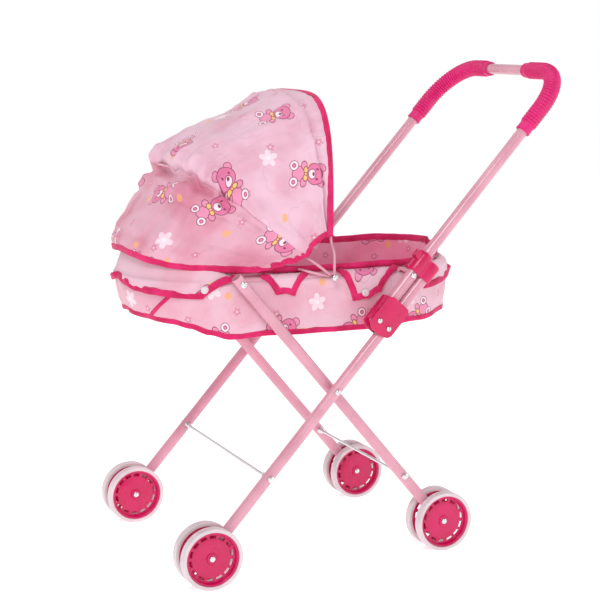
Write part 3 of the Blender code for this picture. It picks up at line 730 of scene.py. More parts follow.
def make_end_guard(side, name, finish):
    """A moulded shell on the front of the handle's foot, between the bracket's cheeks."""
    node = f"handle_end_guard_{name}"
    inner, outer, spread = TUBE_R + GAP, TUBE_R + 0.0024, 0.80
    start = at(side * FRONT_TRACK, PIN - FRONT_U * 0.004)
    section = arc(Vector(), FRONT_N, X_AXIS, inner, spread, -spread, 16)
    corner = inner * sin(spread) - 0.0002
    half = [(corner, outer - 0.0004), (corner - 0.0012, outer)]
    section += [-X_AXIS * x + FRONT_N * n for x, n in half]
    section += [X_AXIS * x + FRONT_N * n for x, n in reversed(half)]
    reach = FRONT_U * 0.032
    bm = bmesh.new()
    skin(bm, [[start + p + reach * t for p in section] for t in (0, 0.5, 1)], capped=True)
    made = solid(f"{node}_shell", bm, finish, "handle", [node])
    soften(made, 0.0004, 2, 0.7)


def make_clip(side, name, finish):
    """The snap clip: a lobed sleeve on the handle tube whose jaws close over the leg's end."""
    track = side * FRONT_TRACK
    wall = TUBE_R + 0.0026
    off = (COT_BOLT - PIVOT).dot(FRONT_N)
    axis_start = flat(COT_BOLT) - FRONT_N * off + FRONT_U * 0.004
    lobes = []
    for k in range(49):
        across = -wall + (off + 2 * wall) * k / 48
        leg_part = sqrt(max(0.0, wall ** 2 - across ** 2))
        tube_part = sqrt(max(0.0, wall ** 2 - (across - off) ** 2))
        lobes.append((max(leg_part, tube_part, 0.0067 if 0 < across < off else 0.0), across))
    outline = lobes + [(-x, across) for x, across in reversed(lobes[1:-1])]
    stations = [(0.0, 0.90), (0.0008, 0.97), (0.0022, 1.0), (0.0190, 1.0), (0.0208, 0.96), (0.0220, 0.86)]
    bm = bmesh.new()
    rings = []
    for along, scale in stations:
        centre = off / 2
        rings.append([at(track, axis_start) + FRONT_U * along + X_AXIS * (x * scale)
                      + FRONT_N * (centre + (b - centre) * (0.5 + 0.5 * scale)) for x, b in outline])
    skin(bm, rings, capped=True)
    made = solid(f"lock_clip_{name}_moulding", bm, finish, f"lock_{name}", [f"lock_clip_{name}"],
                 0.9)
    handle_axis = at(track, axis_start + FRONT_N * off)
    collar = [handle_axis + FRONT_U * a for a in (0.019, 0.0215, 0.0242, 0.0252)]
    collar_bm = bmesh.new()
    skin(collar_bm, sweep(collar, X_AXIS, [wall, wall, wall - 0.0006, wall - 0.0016], 40), capped=True)
    tab_outline = [(0.013, -0.003), (0.0235, -0.003), (0.0250, 0.0010), (0.0225, 0.0032),
                   (0.0150, 0.0030), (0.0130, 0.0006)]
    tab = prism_x([(along, wall + raised) for along, raised in tab_outline],
                  track - 0.0048, track + 0.0048, axis_start + FRONT_N * off)
    carve(made, [collar_bm, tab], "UNION")
    reach = [handle_axis + FRONT_U * a for a in (-0.01, 0.04)]
    bore = bmesh.new()
    skin(bore, sweep(reach, X_AXIS, [TUBE_R + GAP] * 2, 40), capped=True)
    leg_axis = at(track, axis_start)
    inner = TUBE_R + 0.0004
    jaw = arc(Vector(), X_AXIS, FRONT_N, inner, 0, pi, 24)
    jaw += [X_AXIS * -inner * 0.86 - FRONT_N * 0.02, X_AXIS * inner * 0.86 - FRONT_N * 0.02]
    throat = bmesh.new()
    skin(throat, [[leg_axis + p + FRONT_U * a for p in jaw] for a in (-0.01, 0.04)], capped=True)
    carve(made, [bore, throat])
    soften(made, 0.0005, 2, 0.7)


# Wheels --------------------------------
DISC_WIDTH = size("front_left_tyre_outer").x
TYRE_DEPTH = 0.0044
SLOTS = 14


def tyre_shape():
    """A white tyre ring with rounded shoulders and two fine grooves round its tread."""
    inner, round_edge = FRONT_HUB.z - TYRE_DEPTH, 0.0014
    outer = FRONT_HUB.z
    profile = [(0.0004, inner), (0.0, inner + 0.0004), (0.0, outer - round_edge)]
    profile += [(round_edge * (1 - cos(t)), outer - round_edge * (1 - sin(t)))
                for t in (pi / 2 * k / 5 for k in range(1, 6))]
    for groove in (0.0036, DISC_WIDTH - 0.0036):
        profile += [(groove - 0.0004, outer), (groove, outer - 0.0004), (groove + 0.0004, outer)]
    profile += [(DISC_WIDTH - x, r) for x, r in reversed(profile[:8])]
    return turned(profile, Vector(), 96, loop=True)


def hub_shape():
    """A dished hub: a deep rim, a disc pierced by a ring of slots, and a raised eye round the axle."""
    rim_r = FRONT_HUB.z - TYRE_DEPTH - 0.0002
    outer_face = [(0.0066, 0.0026), (0.0068, 0.0044), (0.0066, 0.0056), (0.0054, 0.0064), (0.0052, 0.0150),
                  (0.0048, 0.0205), (0.0044, 0.0219), (0.0044, 0.0254), (0.0048, 0.0263), (0.0080, 0.0272),
                  (0.0090, 0.0278), (0.0094, 0.0288), (0.0092, rim_r)]
    inner_face = [(0.0010, rim_r), (0.0008, 0.0270), (0.0020, 0.0265), (0.0022, 0.0254), (0.0022, 0.0219),
                  (0.0024, 0.0205), (0.0024, 0.0060), (0.0010, 0.0050), (0.0010, 0.0026)]
    per_slot = 6
    sides = SLOTS * per_slot
    bm = bmesh.new()
    rings = [circle(X_AXIS * x, Y_AXIS, Z_AXIS, r, sides) for x, r in outer_face + inner_face]
    rows = [[bm.verts.new(p) for p in ring] for ring in rings]
    front_low, back_high = 6, len(outer_face) + 3
    for i, row in enumerate(rows):
        after = rows[(i + 1) % len(rows)]
        for k in range(sides):
            n = (k + 1) % sides
            if i in (front_low, back_high) and k % per_slot < 4:
                continue
            bm.faces.new((row[k], row[n], after[n], after[k]))
    for slot_number in range(SLOTS):
        first = slot_number * per_slot
        border = [(front_low, first + k) for k in range(5)]
        border += [(front_low + 1, k) for _, k in reversed(border)]
        partner = {front_low: back_high + 1, front_low + 1: back_high}
        for (i, k), (j, m) in zip(border, border[1:] + border[:1]):
            bm.faces.new((rows[i][k % sides], rows[j][m % sides],
                          rows[partner[j]][m % sides], rows[partner[i]][k % sides]))
    bmesh.ops.recalc_face_normals(bm, faces=bm.faces)
    return bm


def make_wheels(white, hub_finish, metal):
    """Four twin wheels, each two discs back to back on a pin."""
    for end, body_hub in (("front", FRONT_HUB), ("rear", REAR_HUB)):
        for side, name in SIDES:
            wheel = f"{end}_{name}_wheel"
            centre = at(side * body_hub.x, body_hub)
            start = TUBE_R + 2 * GAP
            for place, way in (("outer", side), ("inner", -side)):
                for kind, shape, finish, slot in (("tyre", tyre_shape, white, "white_plastic"),
                                                  ("hub", hub_shape, hub_finish, "magenta_plastic")):
                    bm = shape()
                    turn = Matrix.Rotation(0 if way > 0 else pi, 4, "Z")
                    shift = Matrix.Translation(centre + X_AXIS * (way * start))
                    bmesh.ops.transform(bm, matrix=shift @ turn, verts=bm.verts)
                    node = f"{end}_{name}_{kind}_{place}"
                    solid(f"{node}_moulding", bm, finish, wheel, [node], 0.7)
            head, pin_r, head_r = start + 0.0068, 0.0020, 0.0034
            half = [(0.0, pin_r), (head, pin_r), (head, head_r)] + dome(head, head_r, 0.0022)[1:]
            profile = [(-x, r) for x, r in reversed(half[1:])] + half[1:]
            node = f"{end}_{name}_axle_pin"
            solid(f"{node}_rivet", turned(profile, centre, 40), metal, wheel, [node])


# Cloth helpers -------------------------
CLOTH = 0.0006                 # the sheets' thickness
STITCH_PITCH, STITCH_LENGTH, THREAD_R = 0.0030, 0.0020, 0.00022


def between(points, x):
    """A smooth value through a few given (x, value) points."""
    if x <= points[0][0]:
        return points[0][1]
    for (x0, v0), (x1, v1) in zip(points, points[1:]):
        if x <= x1:
            t = (x - x0) / (x1 - x0)
            return v0 + (v1 - v0) * t * t * (3 - 2 * t)
    return points[-1][1]


def ramp(x, low, high):
    t = min(1.0, max(0.0, (x - low) / (high - low)))
    return t * t * (3 - 2 * t)


def ripple(u, v, seed, scale_u, scale_v=None):
    """A smooth repeatable wave between -1 and 1 over the flat cloth."""
    return noise.noise(Vector((u * scale_u, v * (scale_v or scale_u), seed * 7.31)))


def cloth(name, rows, layout, finish, wrap=False, weld=0.0):
    """A sheet of cloth through rows of points, with its flat layout in metres as the UV map."""
    bm = bmesh.new()
    uv = bm.loops.layers.uv.new("UVMap")
    grid = [[bm.verts.new(p) for p in row] for row in rows]
    columns = len(rows[0])
    area = 0.0
    for i in range(len(rows) - 1):
        for j in range(columns if wrap else columns - 1):
            corners = ((i, j), (i, j + 1), (i + 1, j + 1), (i + 1, j))
            face = bm.faces.new([grid[a][b % columns] for a, b in corners])
            places = [Vector(layout[a][b]) for a, b in corners]
            area += abs((places[2] - places[0]).cross(places[3] - places[1])) / 2
            for loop, place in zip(face.loops, places):
                loop[uv].uv = place
    if weld:
        bmesh.ops.remove_doubles(bm, verts=bm.verts, dist=weld)
    made = add_mesh(name, bm, finish, 3.2)
    thick = made.modifiers.new("thickness", "SOLIDIFY")
    thick.thickness = CLOTH
    thick.offset = 0.0
    settle(made)
    made.data.shade_smooth()
    spans = [[place[axis] for row in layout for place in row] for axis in (0, 1)]
    made["flat_size"] = [max(span) - min(span) for span in spans]
    made["flat_area"] = area
    return made


def spaced_layout(rows, start, wrap):
    """A flat layout for a grid: along its middle row one way, and down its own columns the other."""
    guide = rows[len(rows) // 2]
    us = travelled(guide + (guide[:1] if wrap else []), start[0])
    layout, down = [], [start[1]] * len(us)
    for i, row in enumerate(rows):
        if i:
            steps = [(point - above).length for point, above in zip(row, rows[i - 1])]
            down = [d + steps[j % len(steps)] for j, d in enumerate(down)]
        layout.append([(u, d) for u, d in zip(us, down)])
    return layout


def binding(name, edge, inside, finish, width, closed=False, thick=0.0011):
    """Bias tape folded over a cloth's edge. inside holds a point of the cloth next to each edge point.
    Returns the piece and the line that its stitches follow on the outer side."""
    count, around = len(edge), 12
    rings, seam = [], []
    distances = travelled(edge)
    for k in range(count):
        before = edge[k - 1] if closed or k else edge[0]
        after = edge[(k + 1) % count] if closed or k < count - 1 else edge[-1]
        tangent = (after - before).normalized()
        across = edge[k] - inside[k]
        across = (across - tangent * across.dot(tangent)).normalized()
        normal = tangent.cross(across)
        half = width / 2 * (1 + 0.10 * ripple(distances[k], 0, len(name), 90))
        centre = edge[k] - across * (half - 0.0010)
        ring = []
        for m in range(around):
            t = 2 * pi * m / around
            a, b = cos(t), sin(t)
            flat_part = (abs(a) ** 0.6) * (1 if a > 0 else -1)
            ring.append(centre + across * (half * flat_part) + normal * (thick * b))
        rings.append(ring)
        seam.append((centre - across * (half - 0.0011), normal * thick))
    bm = bmesh.new()
    rows = skin(bm, rings, loop=closed, capped=not closed)
    uv = bm.loops.layers.uv.new("UVMap")
    place = {v: (distances[i], width * 2 * m / around) for i, row in enumerate(rows)
             for m, v in enumerate(row)}
    for face in bm.faces:
        for loop in face.loops:
            loop[uv].uv = place[loop.vert]
    bmesh.ops.recalc_face_normals(bm, faces=bm.faces)
    return add_mesh(name, bm, finish, 1.2), seam


def stitches(name, seams, finish):
    """Short thread stitches on both sides of bindings, as one piece."""
    bm = bmesh.new()
    for seam in seams:
        gone, due = 0.0, 0.0
        for (place, lift), (after, lift_after) in zip(seam, seam[1:]):
            span = (after - place).length
            while span > 0 and due <= gone + span:
                t = (due - gone) / span
                centre, out = place.lerp(after, t), lift.lerp(lift_after, t)
                for way in (0.92, -0.92):
                    add_stitch(bm, centre + out * way, (after - place) / span, out.normalized())
                due += STITCH_PITCH
            gone += span
    bmesh.ops.recalc_face_normals(bm, faces=bm.faces)
    return add_mesh(name, bm, finish, 3.2)


def add_stitch(bm, centre, along, out):
    """A square thread that tapers to a tip at each end."""
    side = along.cross(out).normalized()
    ring = circle(centre, side, out, THREAD_R, 4)
    tip, shoulder = along * (STITCH_LENGTH / 2), along * (STITCH_LENGTH * 0.3)
    skin(bm, [[centre - tip], [p - shoulder for p in ring], [p + shoulder for p in ring], [centre + tip]])


# Hood ----------------------------------
HOOD_LOW = 5.5                 # the angle above the ring where the lower sheet's layout starts
HOOD_SEAM = 38.0               # the middle hoop's angle, where the two hood sheets meet
HOOD_EDGE = 91.0               # the opening's edge
HOOD_SPAN, HOOD_DEPTH = 0.30, 0.2    # metres of cloth for a whole t and a radian, for the ripples
HOOP_FOOT = 0.042              # where the hoops leave the cloth's edge, from the pivot axis
FOLD_BEFORE, FOLD_AFTER = 0.040, 0.104    # how far from the pivot each sheet's span ends; these ends are not used
# Tables by angle, the hem's by |t|: the crown's reach, the hem, half the width, how square, the foot.
HOOD_REACH = [(5.5, .2085), (10, .2092), (15, .2040), (20, .1985), (26, .1942), (33, .1915),
              (36.5, .1905), (38.0, .1945), (39.6, .2005), (43, .2008), (52, .1957), (58, .1917),
              (64, .1893), (70, .1890), (76, .1908), (82, .1956), (88, .1982), (92, .1982)]
HOOD_HEM = [(0, 7.5), (.15, 7.1), (.4, 5.95), (.55, 5.4), (.7, 5.2), (.85, 5.6), (1.0, 6.6)]
HOOD_WIDTH = [(5.5, .1085), (20, .1075), (38, .1055), (64, .1045), (92, .1060)]
HOOD_POWER = [(5.5, 2.7), (15, 3.0), (38, 3.4), (92, 4.0)]
HOOD_FOOT = [(5.5, .094), (7.5, .086), (11, .071), (16, .0595), (25, .047), (34, .040),
             (43, .0365), (60, .040), (75, .0445), (92, .0450)]


def hood_direction(angle):
    """Away from the hood's pivot axis, at an angle above the ring towards the front."""
    return Vector((0, -cos(radians(angle)), sin(radians(angle))))


def hood_tangent(angle):
    """The way a point of the hood moves as the hood opens."""
    return Vector((0, sin(radians(angle)), cos(radians(angle))))


def hill(x, centre, half):
    """A smooth hill, 1 at its centre and 0 from half either side."""
    return max(0.0, 1 - ((x - centre) / half) ** 2)


def foot_turn(foot, reach, power):
    """Where along its quarter turn an arch of that reach and squareness meets its foot."""
    low = (foot / reach) ** (power / 2)
    return atan2(low, sqrt(1 - low * low))


def hood_point(angle, t):
    """A point of the hood's cloth: t runs from -1 at the right foot over the top to 1 at the left foot."""
    power = between(HOOD_POWER, angle)
    reach, width = between(HOOD_REACH, angle), between(HOOD_WIDTH, angle)
    turn = pi / 2 - abs(t) * (pi / 2 - foot_turn(between(HOOD_FOOT, angle), reach, power))
    x = width * cos(turn) ** (2 / power) if abs(t) > 1e-6 else 0.0
    r = reach * sin(turn) ** (2 / power)
    normal = Vector(((x / width) ** (power - 1) / width, 0, 0)) if x > 0 else Vector()
    normal += hood_direction(angle) * ((r / reach) ** (power - 1) / reach)
    normal.normalize()
    side = 1 if t > 0 else -1
    u, v = t * HOOD_SPAN, radians(angle) * HOOD_DEPTH
    tied = ramp(92 - angle, 0.5, 6) * ramp(angle, 6, 11)
    crown = 1 - abs(t)
    push = 0.0042 * ripple(u, v, 1, 16) + 0.0028 * ripple(u, v, 2, 42, 26)
    push += 0.0012 * ripple(u, v, 3, 110, 60)
    near_foot = 1 - ramp(r, 0.06, 0.13)
    push += 0.0008 * near_foot * sin(radians(angle) * 15 + 2 * side) * ramp(angle, 10, 20)
    push += hill(angle, 41.4, 4.6) * ramp(crown, 0.10, 0.5) * (0.0105 * ripple(u, v, 4, 60, 30) + 0.0030)
    push -= hill(angle, 36.2, 3.0) * ramp(crown, 0.05, 0.45) * (0.0058 + 0.0070 * ripple(u, v, 5, 66, 20))
    push += hill(angle, 33.0, 3.4) * ramp(crown, 0.15, 0.5) * 0.0048 * ripple(u, v, 10, 50, 34)
    pleat = ramp(angle, 27.5, 30.5) * ramp(36.5 - angle, 0, 2.5)
    push += 0.0042 * pleat * ramp(abs(t), 0.10, 0.24) * ramp(0.62 - abs(t), 0, 0.16)
    slanted = hill(angle, 26.6 + 5 * abs(t), 1.5)
    push -= 0.0022 * slanted * ramp(abs(t), 0.08, 0.2) * ramp(0.8 - abs(t), 0, 0.2)
    push += hill(angle, 22.0, 9.0) * 0.0022 * sin(t * 17 + 1.2 * sin(t * 5)) * ramp(crown, 0.05, 0.4)
    push += 0.0012 * hill(angle, 14.5, 1.7) * ramp(crown, 0.0, 0.2)
    channel = hill(angle, 84.7, 1.3) * (0.0042 + 0.0012 * ripple(u, v, 7, 150))
    channel -= 0.0025 * hill(angle, 82.3, 1.6)
    pucker = hill(angle, 85.4, 3.6) * 0.0009 * ripple(u, v, 8, 95, 30)
    push = push * tied - channel + pucker
    normal.x *= side
    place = HOOD_PIVOT + hood_direction(angle) * r + Vector((side * x, 0, 0))
    slide = 0.0020 * ripple(u, v, 6, 20) * tied
    slide += 0.0075 * hill(angle, 38.5, 7.0) * ramp(crown, 0.12, 0.5) * ripple(u, 0, 9, 30)
    return place + normal * push + hood_tangent(angle) * slide


def hood_rows(angles, columns, to_hem=False):
    """Rows of the hood's cloth from foot to foot. to_hem stretches the lowest rows down to its hem."""
    rows = []
    for angle in angles:
        row = []
        for k in range(columns + 1):
            t = 2 * k / columns - 1
            t = t + 0.10 * sin(pi * t) / pi
            lifted = angle
            if to_hem:
                fall = (HOOD_SEAM - between(HOOD_HEM, abs(t))) * (HOOD_SEAM - angle)
                lifted = HOOD_SEAM - fall / (HOOD_SEAM - HOOD_LOW)
            row.append(hood_point(lifted, t))
        rows.append(row)
    return rows


def gore_layout(rows, angles, seed):
    """A gore's flat layout: its middle arch is the long line, and each point lies off it by its arc."""
    middle_row = rows[len(rows) // 2]
    centre_angle = angles[len(angles) // 2]
    us = travelled(middle_row)
    shift = us[-1] / 2
    layout = []
    for angle, row in zip(angles, rows):
        reach = [flat(p - HOOD_PIVOT).length for p in row]
        turn = radians(angle - centre_angle)
        layout.append([(u - shift + seed, turn * r + seed) for u, r in zip(us, reach)])
    return layout


def make_hood(front_print, printed, tape, thread):
    """The hood's two sheets, either side of the middle hoop, with their bindings and stitches."""
    columns = 168
    lower_angles = [HOOD_LOW + (HOOD_SEAM - HOOD_LOW) * k / 44 for k in range(45)]
    front_angles = [HOOD_SEAM + (HOOD_EDGE - HOOD_SEAM) * k / 62 for k in range(63)]
    fold_start = HOOD_PIVOT - hood_tangent(HOOD_SEAM) * FOLD_BEFORE
    fold_end = HOOD_PIVOT + hood_tangent(HOOD_SEAM) * FOLD_AFTER
    spans = {"lower": ("carrycot", "hood_mid", fold_start, HOOD_PIVOT),
             "front": ("hood_mid", "hood_front", HOOD_PIVOT, fold_end)}
    lower = hood_rows(lower_angles, columns, True)
    front = hood_rows(front_angles, columns)
    sheets = {
        # The lower sheet takes the darker print: painted shade under the hood's fold.
        "lower": cloth("hood_lower_sheet", lower, gore_layout(lower, lower_angles, 0.35), printed),
        "front": cloth("hood_front_sheet", front, gore_layout(front, front_angles, 0.10), front_print),
    }
    trims = {"lower": [], "front": []}
    seams = {"lower": [], "front": []}

    def trim(span, title, edge, inside, width):
        made, seam = binding(title, edge, inside, tape, width)
        trims[span].append(made)
        seams[span].append(seam)

    trim("lower", "hood_hem_binding", lower[0], lower[1], 0.0072)
    trim("front", "hood_mouth_binding", front[-1], front[-2], 0.0072)
    for column, inner, title in ((0, 1, "right"), (-1, -2, "left")):
        for span, rows in (("lower", lower), ("front", front)):
            trim(span, f"hood_side_binding_{span}_{title}", [row[column] for row in rows],
                 [row[inner] for row in rows], 0.0066)
    for span, (first, second, start, end) in spans.items():
        threads = stitches(f"hood_{span}_stitches", seams[span], thread)
        for piece in [sheets[span], threads] + trims[span]:
            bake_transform(piece)
    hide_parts("hood_panel_lower", "hood_panel_mid")
    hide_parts("hood_panel_front")


def make_hoops(paint):
    """The three wire hoops: each arch follows its CAD hoop, with its feet side by side on the rivet."""
    wire, pitch = 0.0015, 0.0035      # the wire's radius, and its places along the rivet
    nest, inset = 0.0052, 0.0036      # each hoop's step inside the next, and the wire's inside the cloth
    widest, tallest = 0.1066, 0.200
    for order, (title, angle, power, body) in enumerate((("lower", 14.5, 3.0, "carrycot"),
                                                         ("mid", 38.0, 3.4, "hood_mid"),
                                                         ("front", 90.0, 4.0, "hood_front"))):
        node = f"hood_hoop_{title}"
        reach, width = (most - nest * (2 - order) - inset for most in (tallest, widest))
        foot = RING_HALF_WIDTH + RING_R + wire + 3 * GAP + pitch * order
        start = foot_turn(HOOP_FOOT, reach, power)
        turns = [start + (pi / 2 - start) * k / 40 for k in range(41)]
        arch = [(width * max(0.0, cos(t)) ** (2 / power), reach * sin(t) ** (2 / power)) for t in turns]
        inward = arch[0][0] - foot
        half = [(foot, 0.0035), (foot, HOOP_FOOT - 0.018), (foot + inward * 0.2, HOOP_FOOT - 0.013),
                (foot + inward * 0.75, HOOP_FOOT - 0.007)] + arch
        line = half + [(-x, r) for x, r in reversed(half[:-1])]
        path = [at(x, HOOD_PIVOT) + hood_direction(angle) * r for x, r in line]
        path = resample(path, 0.0035)
        bm = bmesh.new()
        skin(bm, sweep(path, hood_tangent(angle), [wire] * len(path), 12), capped=True)
        solid(f"{node}_wire", bm, paint, body, [node])


# Carrycot ------------------------------
RING_LOW, RING_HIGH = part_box("carrycot_ring")
RING_HALF_WIDTH = RING_HIGH.x - RING_HALF
FRONT_CENTRE = RING_LOW.y + RING_HALF + RING_HALF_WIDTH
REAR_CENTRE = RING_HIGH.y - RING_HALF - RING_HALF_WIDTH
QUARTER = pi / 2 * RING_HALF_WIDTH
HALF_RIM = 2 * QUARTER + REAR_CENTRE - FRONT_CENTRE


def rim(s, out, z):
    """A place along the carrycot's oval: s metres round from the front, positive on the left side,
    moved out from the ring's centre line."""
    side, s = (1 if s >= 0 else -1), abs(s)
    radius = RING_HALF_WIDTH + out
    if s < QUARTER:
        turn = s / RING_HALF_WIDTH
        return Vector((side * radius * sin(turn), FRONT_CENTRE - radius * cos(turn), z))
    if s > HALF_RIM - QUARTER:
        turn = (HALF_RIM - s) / RING_HALF_WIDTH
        return Vector((side * radius * sin(turn), REAR_CENTRE + radius * cos(turn), z))
    return Vector((side * radius, FRONT_CENTRE + s - QUARTER, z))


def round_rim(count):
    return [-HALF_RIM + 2 * HALF_RIM * k / count for k in range(count)]


SKIRT_HEM = [(0, .2830), (.04, .2800), (.08, .2777), (.10, .2743), (.12, .2672), (.14, .2629), (.20, .2628),
             (.26, .2618), (.31, .2615), (.36, .2655), (.42, .2690), (.50, .2740)]
TOP_EDGE = [(0, .3510), (.10, .3500), (.15, .3375), (.20, .3345), (.25, .3335), (.30, .3345), (.36, .3350),
            (.42, .3380), (.50, .3410)]


FLOOR_Z, UNDERSIDE_Z = 0.2722, 0.2652
FLOOR_INSET = -0.0175          # the floor cloth's edge, from the ring's centre line


def boat_rise(y):
    """How far the carrycot's bottom rises towards its ends."""
    return 0.018 * (1 - ramp(y, -0.240, -0.165)) + 0.010 * ramp(y, 0.088, 0.130)


def top_edge(s):
    """The height of the lining's top edge, a little higher on the far side."""
    far = 0.0025 if s < 0 else 0.0
    return between(TOP_EDGE, abs(s)) + far + 0.0014 * ripple(s, 0, 11, 22) + 0.0006 * ripple(s, 0, 12, 75)


def skirt_place(s, share):
    """A point of the carrycot's outer wall, from the ring (share 0) down to its hem (share 1)."""
    end = 1 - ramp(abs(s), 0.03, 0.14)
    rear = ramp(abs(s), HALF_RIM - 0.14, HALF_RIM - 0.02)
    hem = between(SKIRT_HEM, abs(s)) + 0.0012 * ripple(s, 0, 13, 30) * share
    z = (RING_Z - 0.0005) * (1 - share) + hem * share
    belly = 0.0026 * sin(pi * min(1.0, share * 1.1))
    belly += 0.0012 * ripple(s, share * 0.05, 14, 30) * min(1, 4 * share)
    belly *= 1 - 0.8 * hill(abs(s), 0.204, 0.045)      # flat where the legs fold past
    folds = 0.0011 * sin(s * 150 + 3 * ripple(s, 0, 15, 9)) * share * (0.35 + 0.65 * max(end, rear))
    out = 0.0049 + belly + folds - (0.0085 * end + 0.004 * rear) * share
    return rim(s, out + 0.0008 * ripple(s, share * 0.06, 16, 90, 60) * min(1, 3 * share), z)


def make_slit(name, side, tape):
    """The bound slit that slants across the wall near its front end."""
    steps = 16
    line, inside = [], []
    for k in range(steps + 1):
        share = 0.30 + 0.62 * k / steps
        s = side * (0.078 - 0.030 * k / steps)
        line.append(skirt_place(s, share))
        inside.append(skirt_place(s + side * 0.002, share))
    outward = (rim(side * 0.06, 0.02, 0) - rim(side * 0.06, 0, 0)).normalized() * CLOTH
    line, inside = ([p + outward for p in points] for points in (line, inside))
    return binding(f"carrycot_slit_binding_{name}", line, inside, tape, 0.0044)[0]


def make_skirt(printed, tape, thread):
    """The outer wall, hung from the ring, with its bound hem and slits."""
    stations = round_rim(380)
    shares = [k / 14 for k in range(15)]
    rows = [[skirt_place(s, share) for s in stations] for share in shares]
    layout = spaced_layout(rows, (0.02, 0.07), True)
    wall = cloth("carrycot_outer_wall", rows, layout, printed, wrap=True)
    hem, seam = binding("carrycot_hem_binding", rows[-1], rows[-2], tape, 0.0064, closed=True)
    threads = stitches("carrycot_hem_stitches", [seam + seam[:1]], thread)
    slits = [make_slit(name, side, tape) for side, name in SIDES]
    for piece in [wall, hem, threads] + slits:
        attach(piece, "carrycot")
    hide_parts("carrycot_skirt")


def make_lining(printed, tape, thread):
    """The inside: a wall sheet from the bound top edge down, a floor over the board, and an underside."""
    stations = round_rim(320)
    depths = [(0.0, -0.0035), (0.05, -0.0042), (0.14, -0.0056), (0.5, -0.0085), (0.85, -0.0110),
              (1.0, -0.0170)]
    rows = []
    for share in [k / 12 for k in range(13)]:
        out = between(depths, share)
        row = []
        for s in stations:
            z = top_edge(s) * (1 - share) + (FLOOR_Z + 0.7 * boat_rise(rim(s, FLOOR_INSET, 0).y)) * share
            wave = 0.0016 * ripple(s, share * 0.06, 21, 26) + 0.0007 * ripple(s, share * 0.06, 22, 80, 50)
            row.append(rim(s, out - abs(wave) * min(1, 4 * share) - 0.001 * share, z))
        rows.append(row)
    # The lining, its floor and its underside take the brightened lining print: painted light against the
    # shade inside the cot.
    lining = cloth("carrycot_lining", rows, spaced_layout(rows, (0.5, 0.3), True), printed, wrap=True)
    top, seam = binding("carrycot_top_binding", rows[0], rows[1], tape, 0.0080, closed=True, thick=0.0014)
    threads = stitches("carrycot_top_stitches", [seam + seam[:1]], thread)
    floor = oval_sheet("carrycot_floor_cloth", FLOOR_INSET, printed,
                       lambda s, inset, x, y: FLOOR_Z + 0.7 * boat_rise(y) + 0.0010 * ripple(x, y, 23, 22)
                       + 0.0006 * ramp(inset, 0.0, 0.03))
    under = oval_sheet("carrycot_underside_cloth", -0.0042, printed,
                       lambda s, inset, x, y: (UNDERSIDE_Z + boat_rise(y)) * ramp(inset, 0.0, 0.016)
                       + (between(SKIRT_HEM, abs(s)) + 0.001) * (1 - ramp(inset, 0.0, 0.016))
                       - 0.0006 * ramp(inset, 0.02, 0.06) + 0.0004 * ripple(x, y, 24, 30))
    for piece in (lining, top, threads, floor, under):
        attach(piece, "carrycot")
    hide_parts("carrycot_tub")


def oval_sheet(name, out, finish, height):
    """A flat sheet over the carrycot's oval, laid out as it lies. height(s, inset, x, y) gives z."""
    stations = round_rim(200)
    steps = 26
    rows = []
    for k in range(steps + 1):
        inset = (RING_HALF_WIDTH + out) * k / steps
        row = []
        for s in stations:
            place = rim(s, out - inset, 0)
            place.z = height(s, inset, place.x, place.y)
            row.append(place)
        rows.append(row)
    layout = [[(p.x + 0.31, p.y + 0.47) for p in row + row[:1]] for row in rows]
    return cloth(name, rows, layout, finish, wrap=True, weld=0.0002)


FLAP_OUT = [(0.0, -0.0030), (0.20, 0.0015), (0.36, 0.0058), (0.5, 0.0072), (1.0, 0.0080)]


def flap_place(s, drop, lower, tight):
    """A point of a flap that folds out over the ring: drop runs from 0 at the top edge down its length.
    A tight flap lies flat on the wall, clear of the legs."""
    out = between(FLAP_OUT, drop) - 0.0014 * tight * ramp(drop, 0.2, 0.5)
    crest = RING_Z + RING_R + 0.0013
    raised = 0.021 * (1 - ramp(abs(s), 0.11, 0.15))     # the front flap starts under the hood
    z = between([(0.0, crest - 0.0010 + raised), (0.20, crest + 0.4 * raised), (0.36, crest - 0.0035),
                 (1.0, lower)], drop)
    wave = ramp(drop, 0.45, 1.0) * (0.0012 + 0.0016 * ripple(s, drop * 0.04, 31, 34))
    wave += 0.0005 * ripple(s, drop * 0.04, 32, 110)
    out += wave * (0.15 if tight else 1.0)
    return rim(s, out, z)


FLAP_LENGTH = 0.032
MIDDLE_HEM = [(.193, .3075), (.204, .3085), (.215, .3055)]
REAR_SIDE_HEM = [(.284, .2950), (.301, .2965), (.318, .3030)]
FRONT_HEM = [(0, .3198), (.02, .3153), (.04, .3120), (.06, .3097), (.08, .3085), (.11, .3073)]
FLAPS = (  # name, its top's two ends round the rim, its hem's two ends, and the hem's height
    ("front", -.150, .150, -.114, .114, FRONT_HEM),
    ("rear_side_left", .268, .342, .284, .318, REAR_SIDE_HEM),
    ("rear_side_right", -.342, -.268, -.318, -.284, REAR_SIDE_HEM),
    ("middle_left", .176, .232, .193, .215, MIDDLE_HEM),
    ("middle_right", -.232, -.176, -.215, -.193, MIDDLE_HEM),
    ("rear", .352, 2 * HALF_RIM - .352, .374, 2 * HALF_RIM - .374, [(.374, .3020), (HALF_RIM, .3170)]),
)


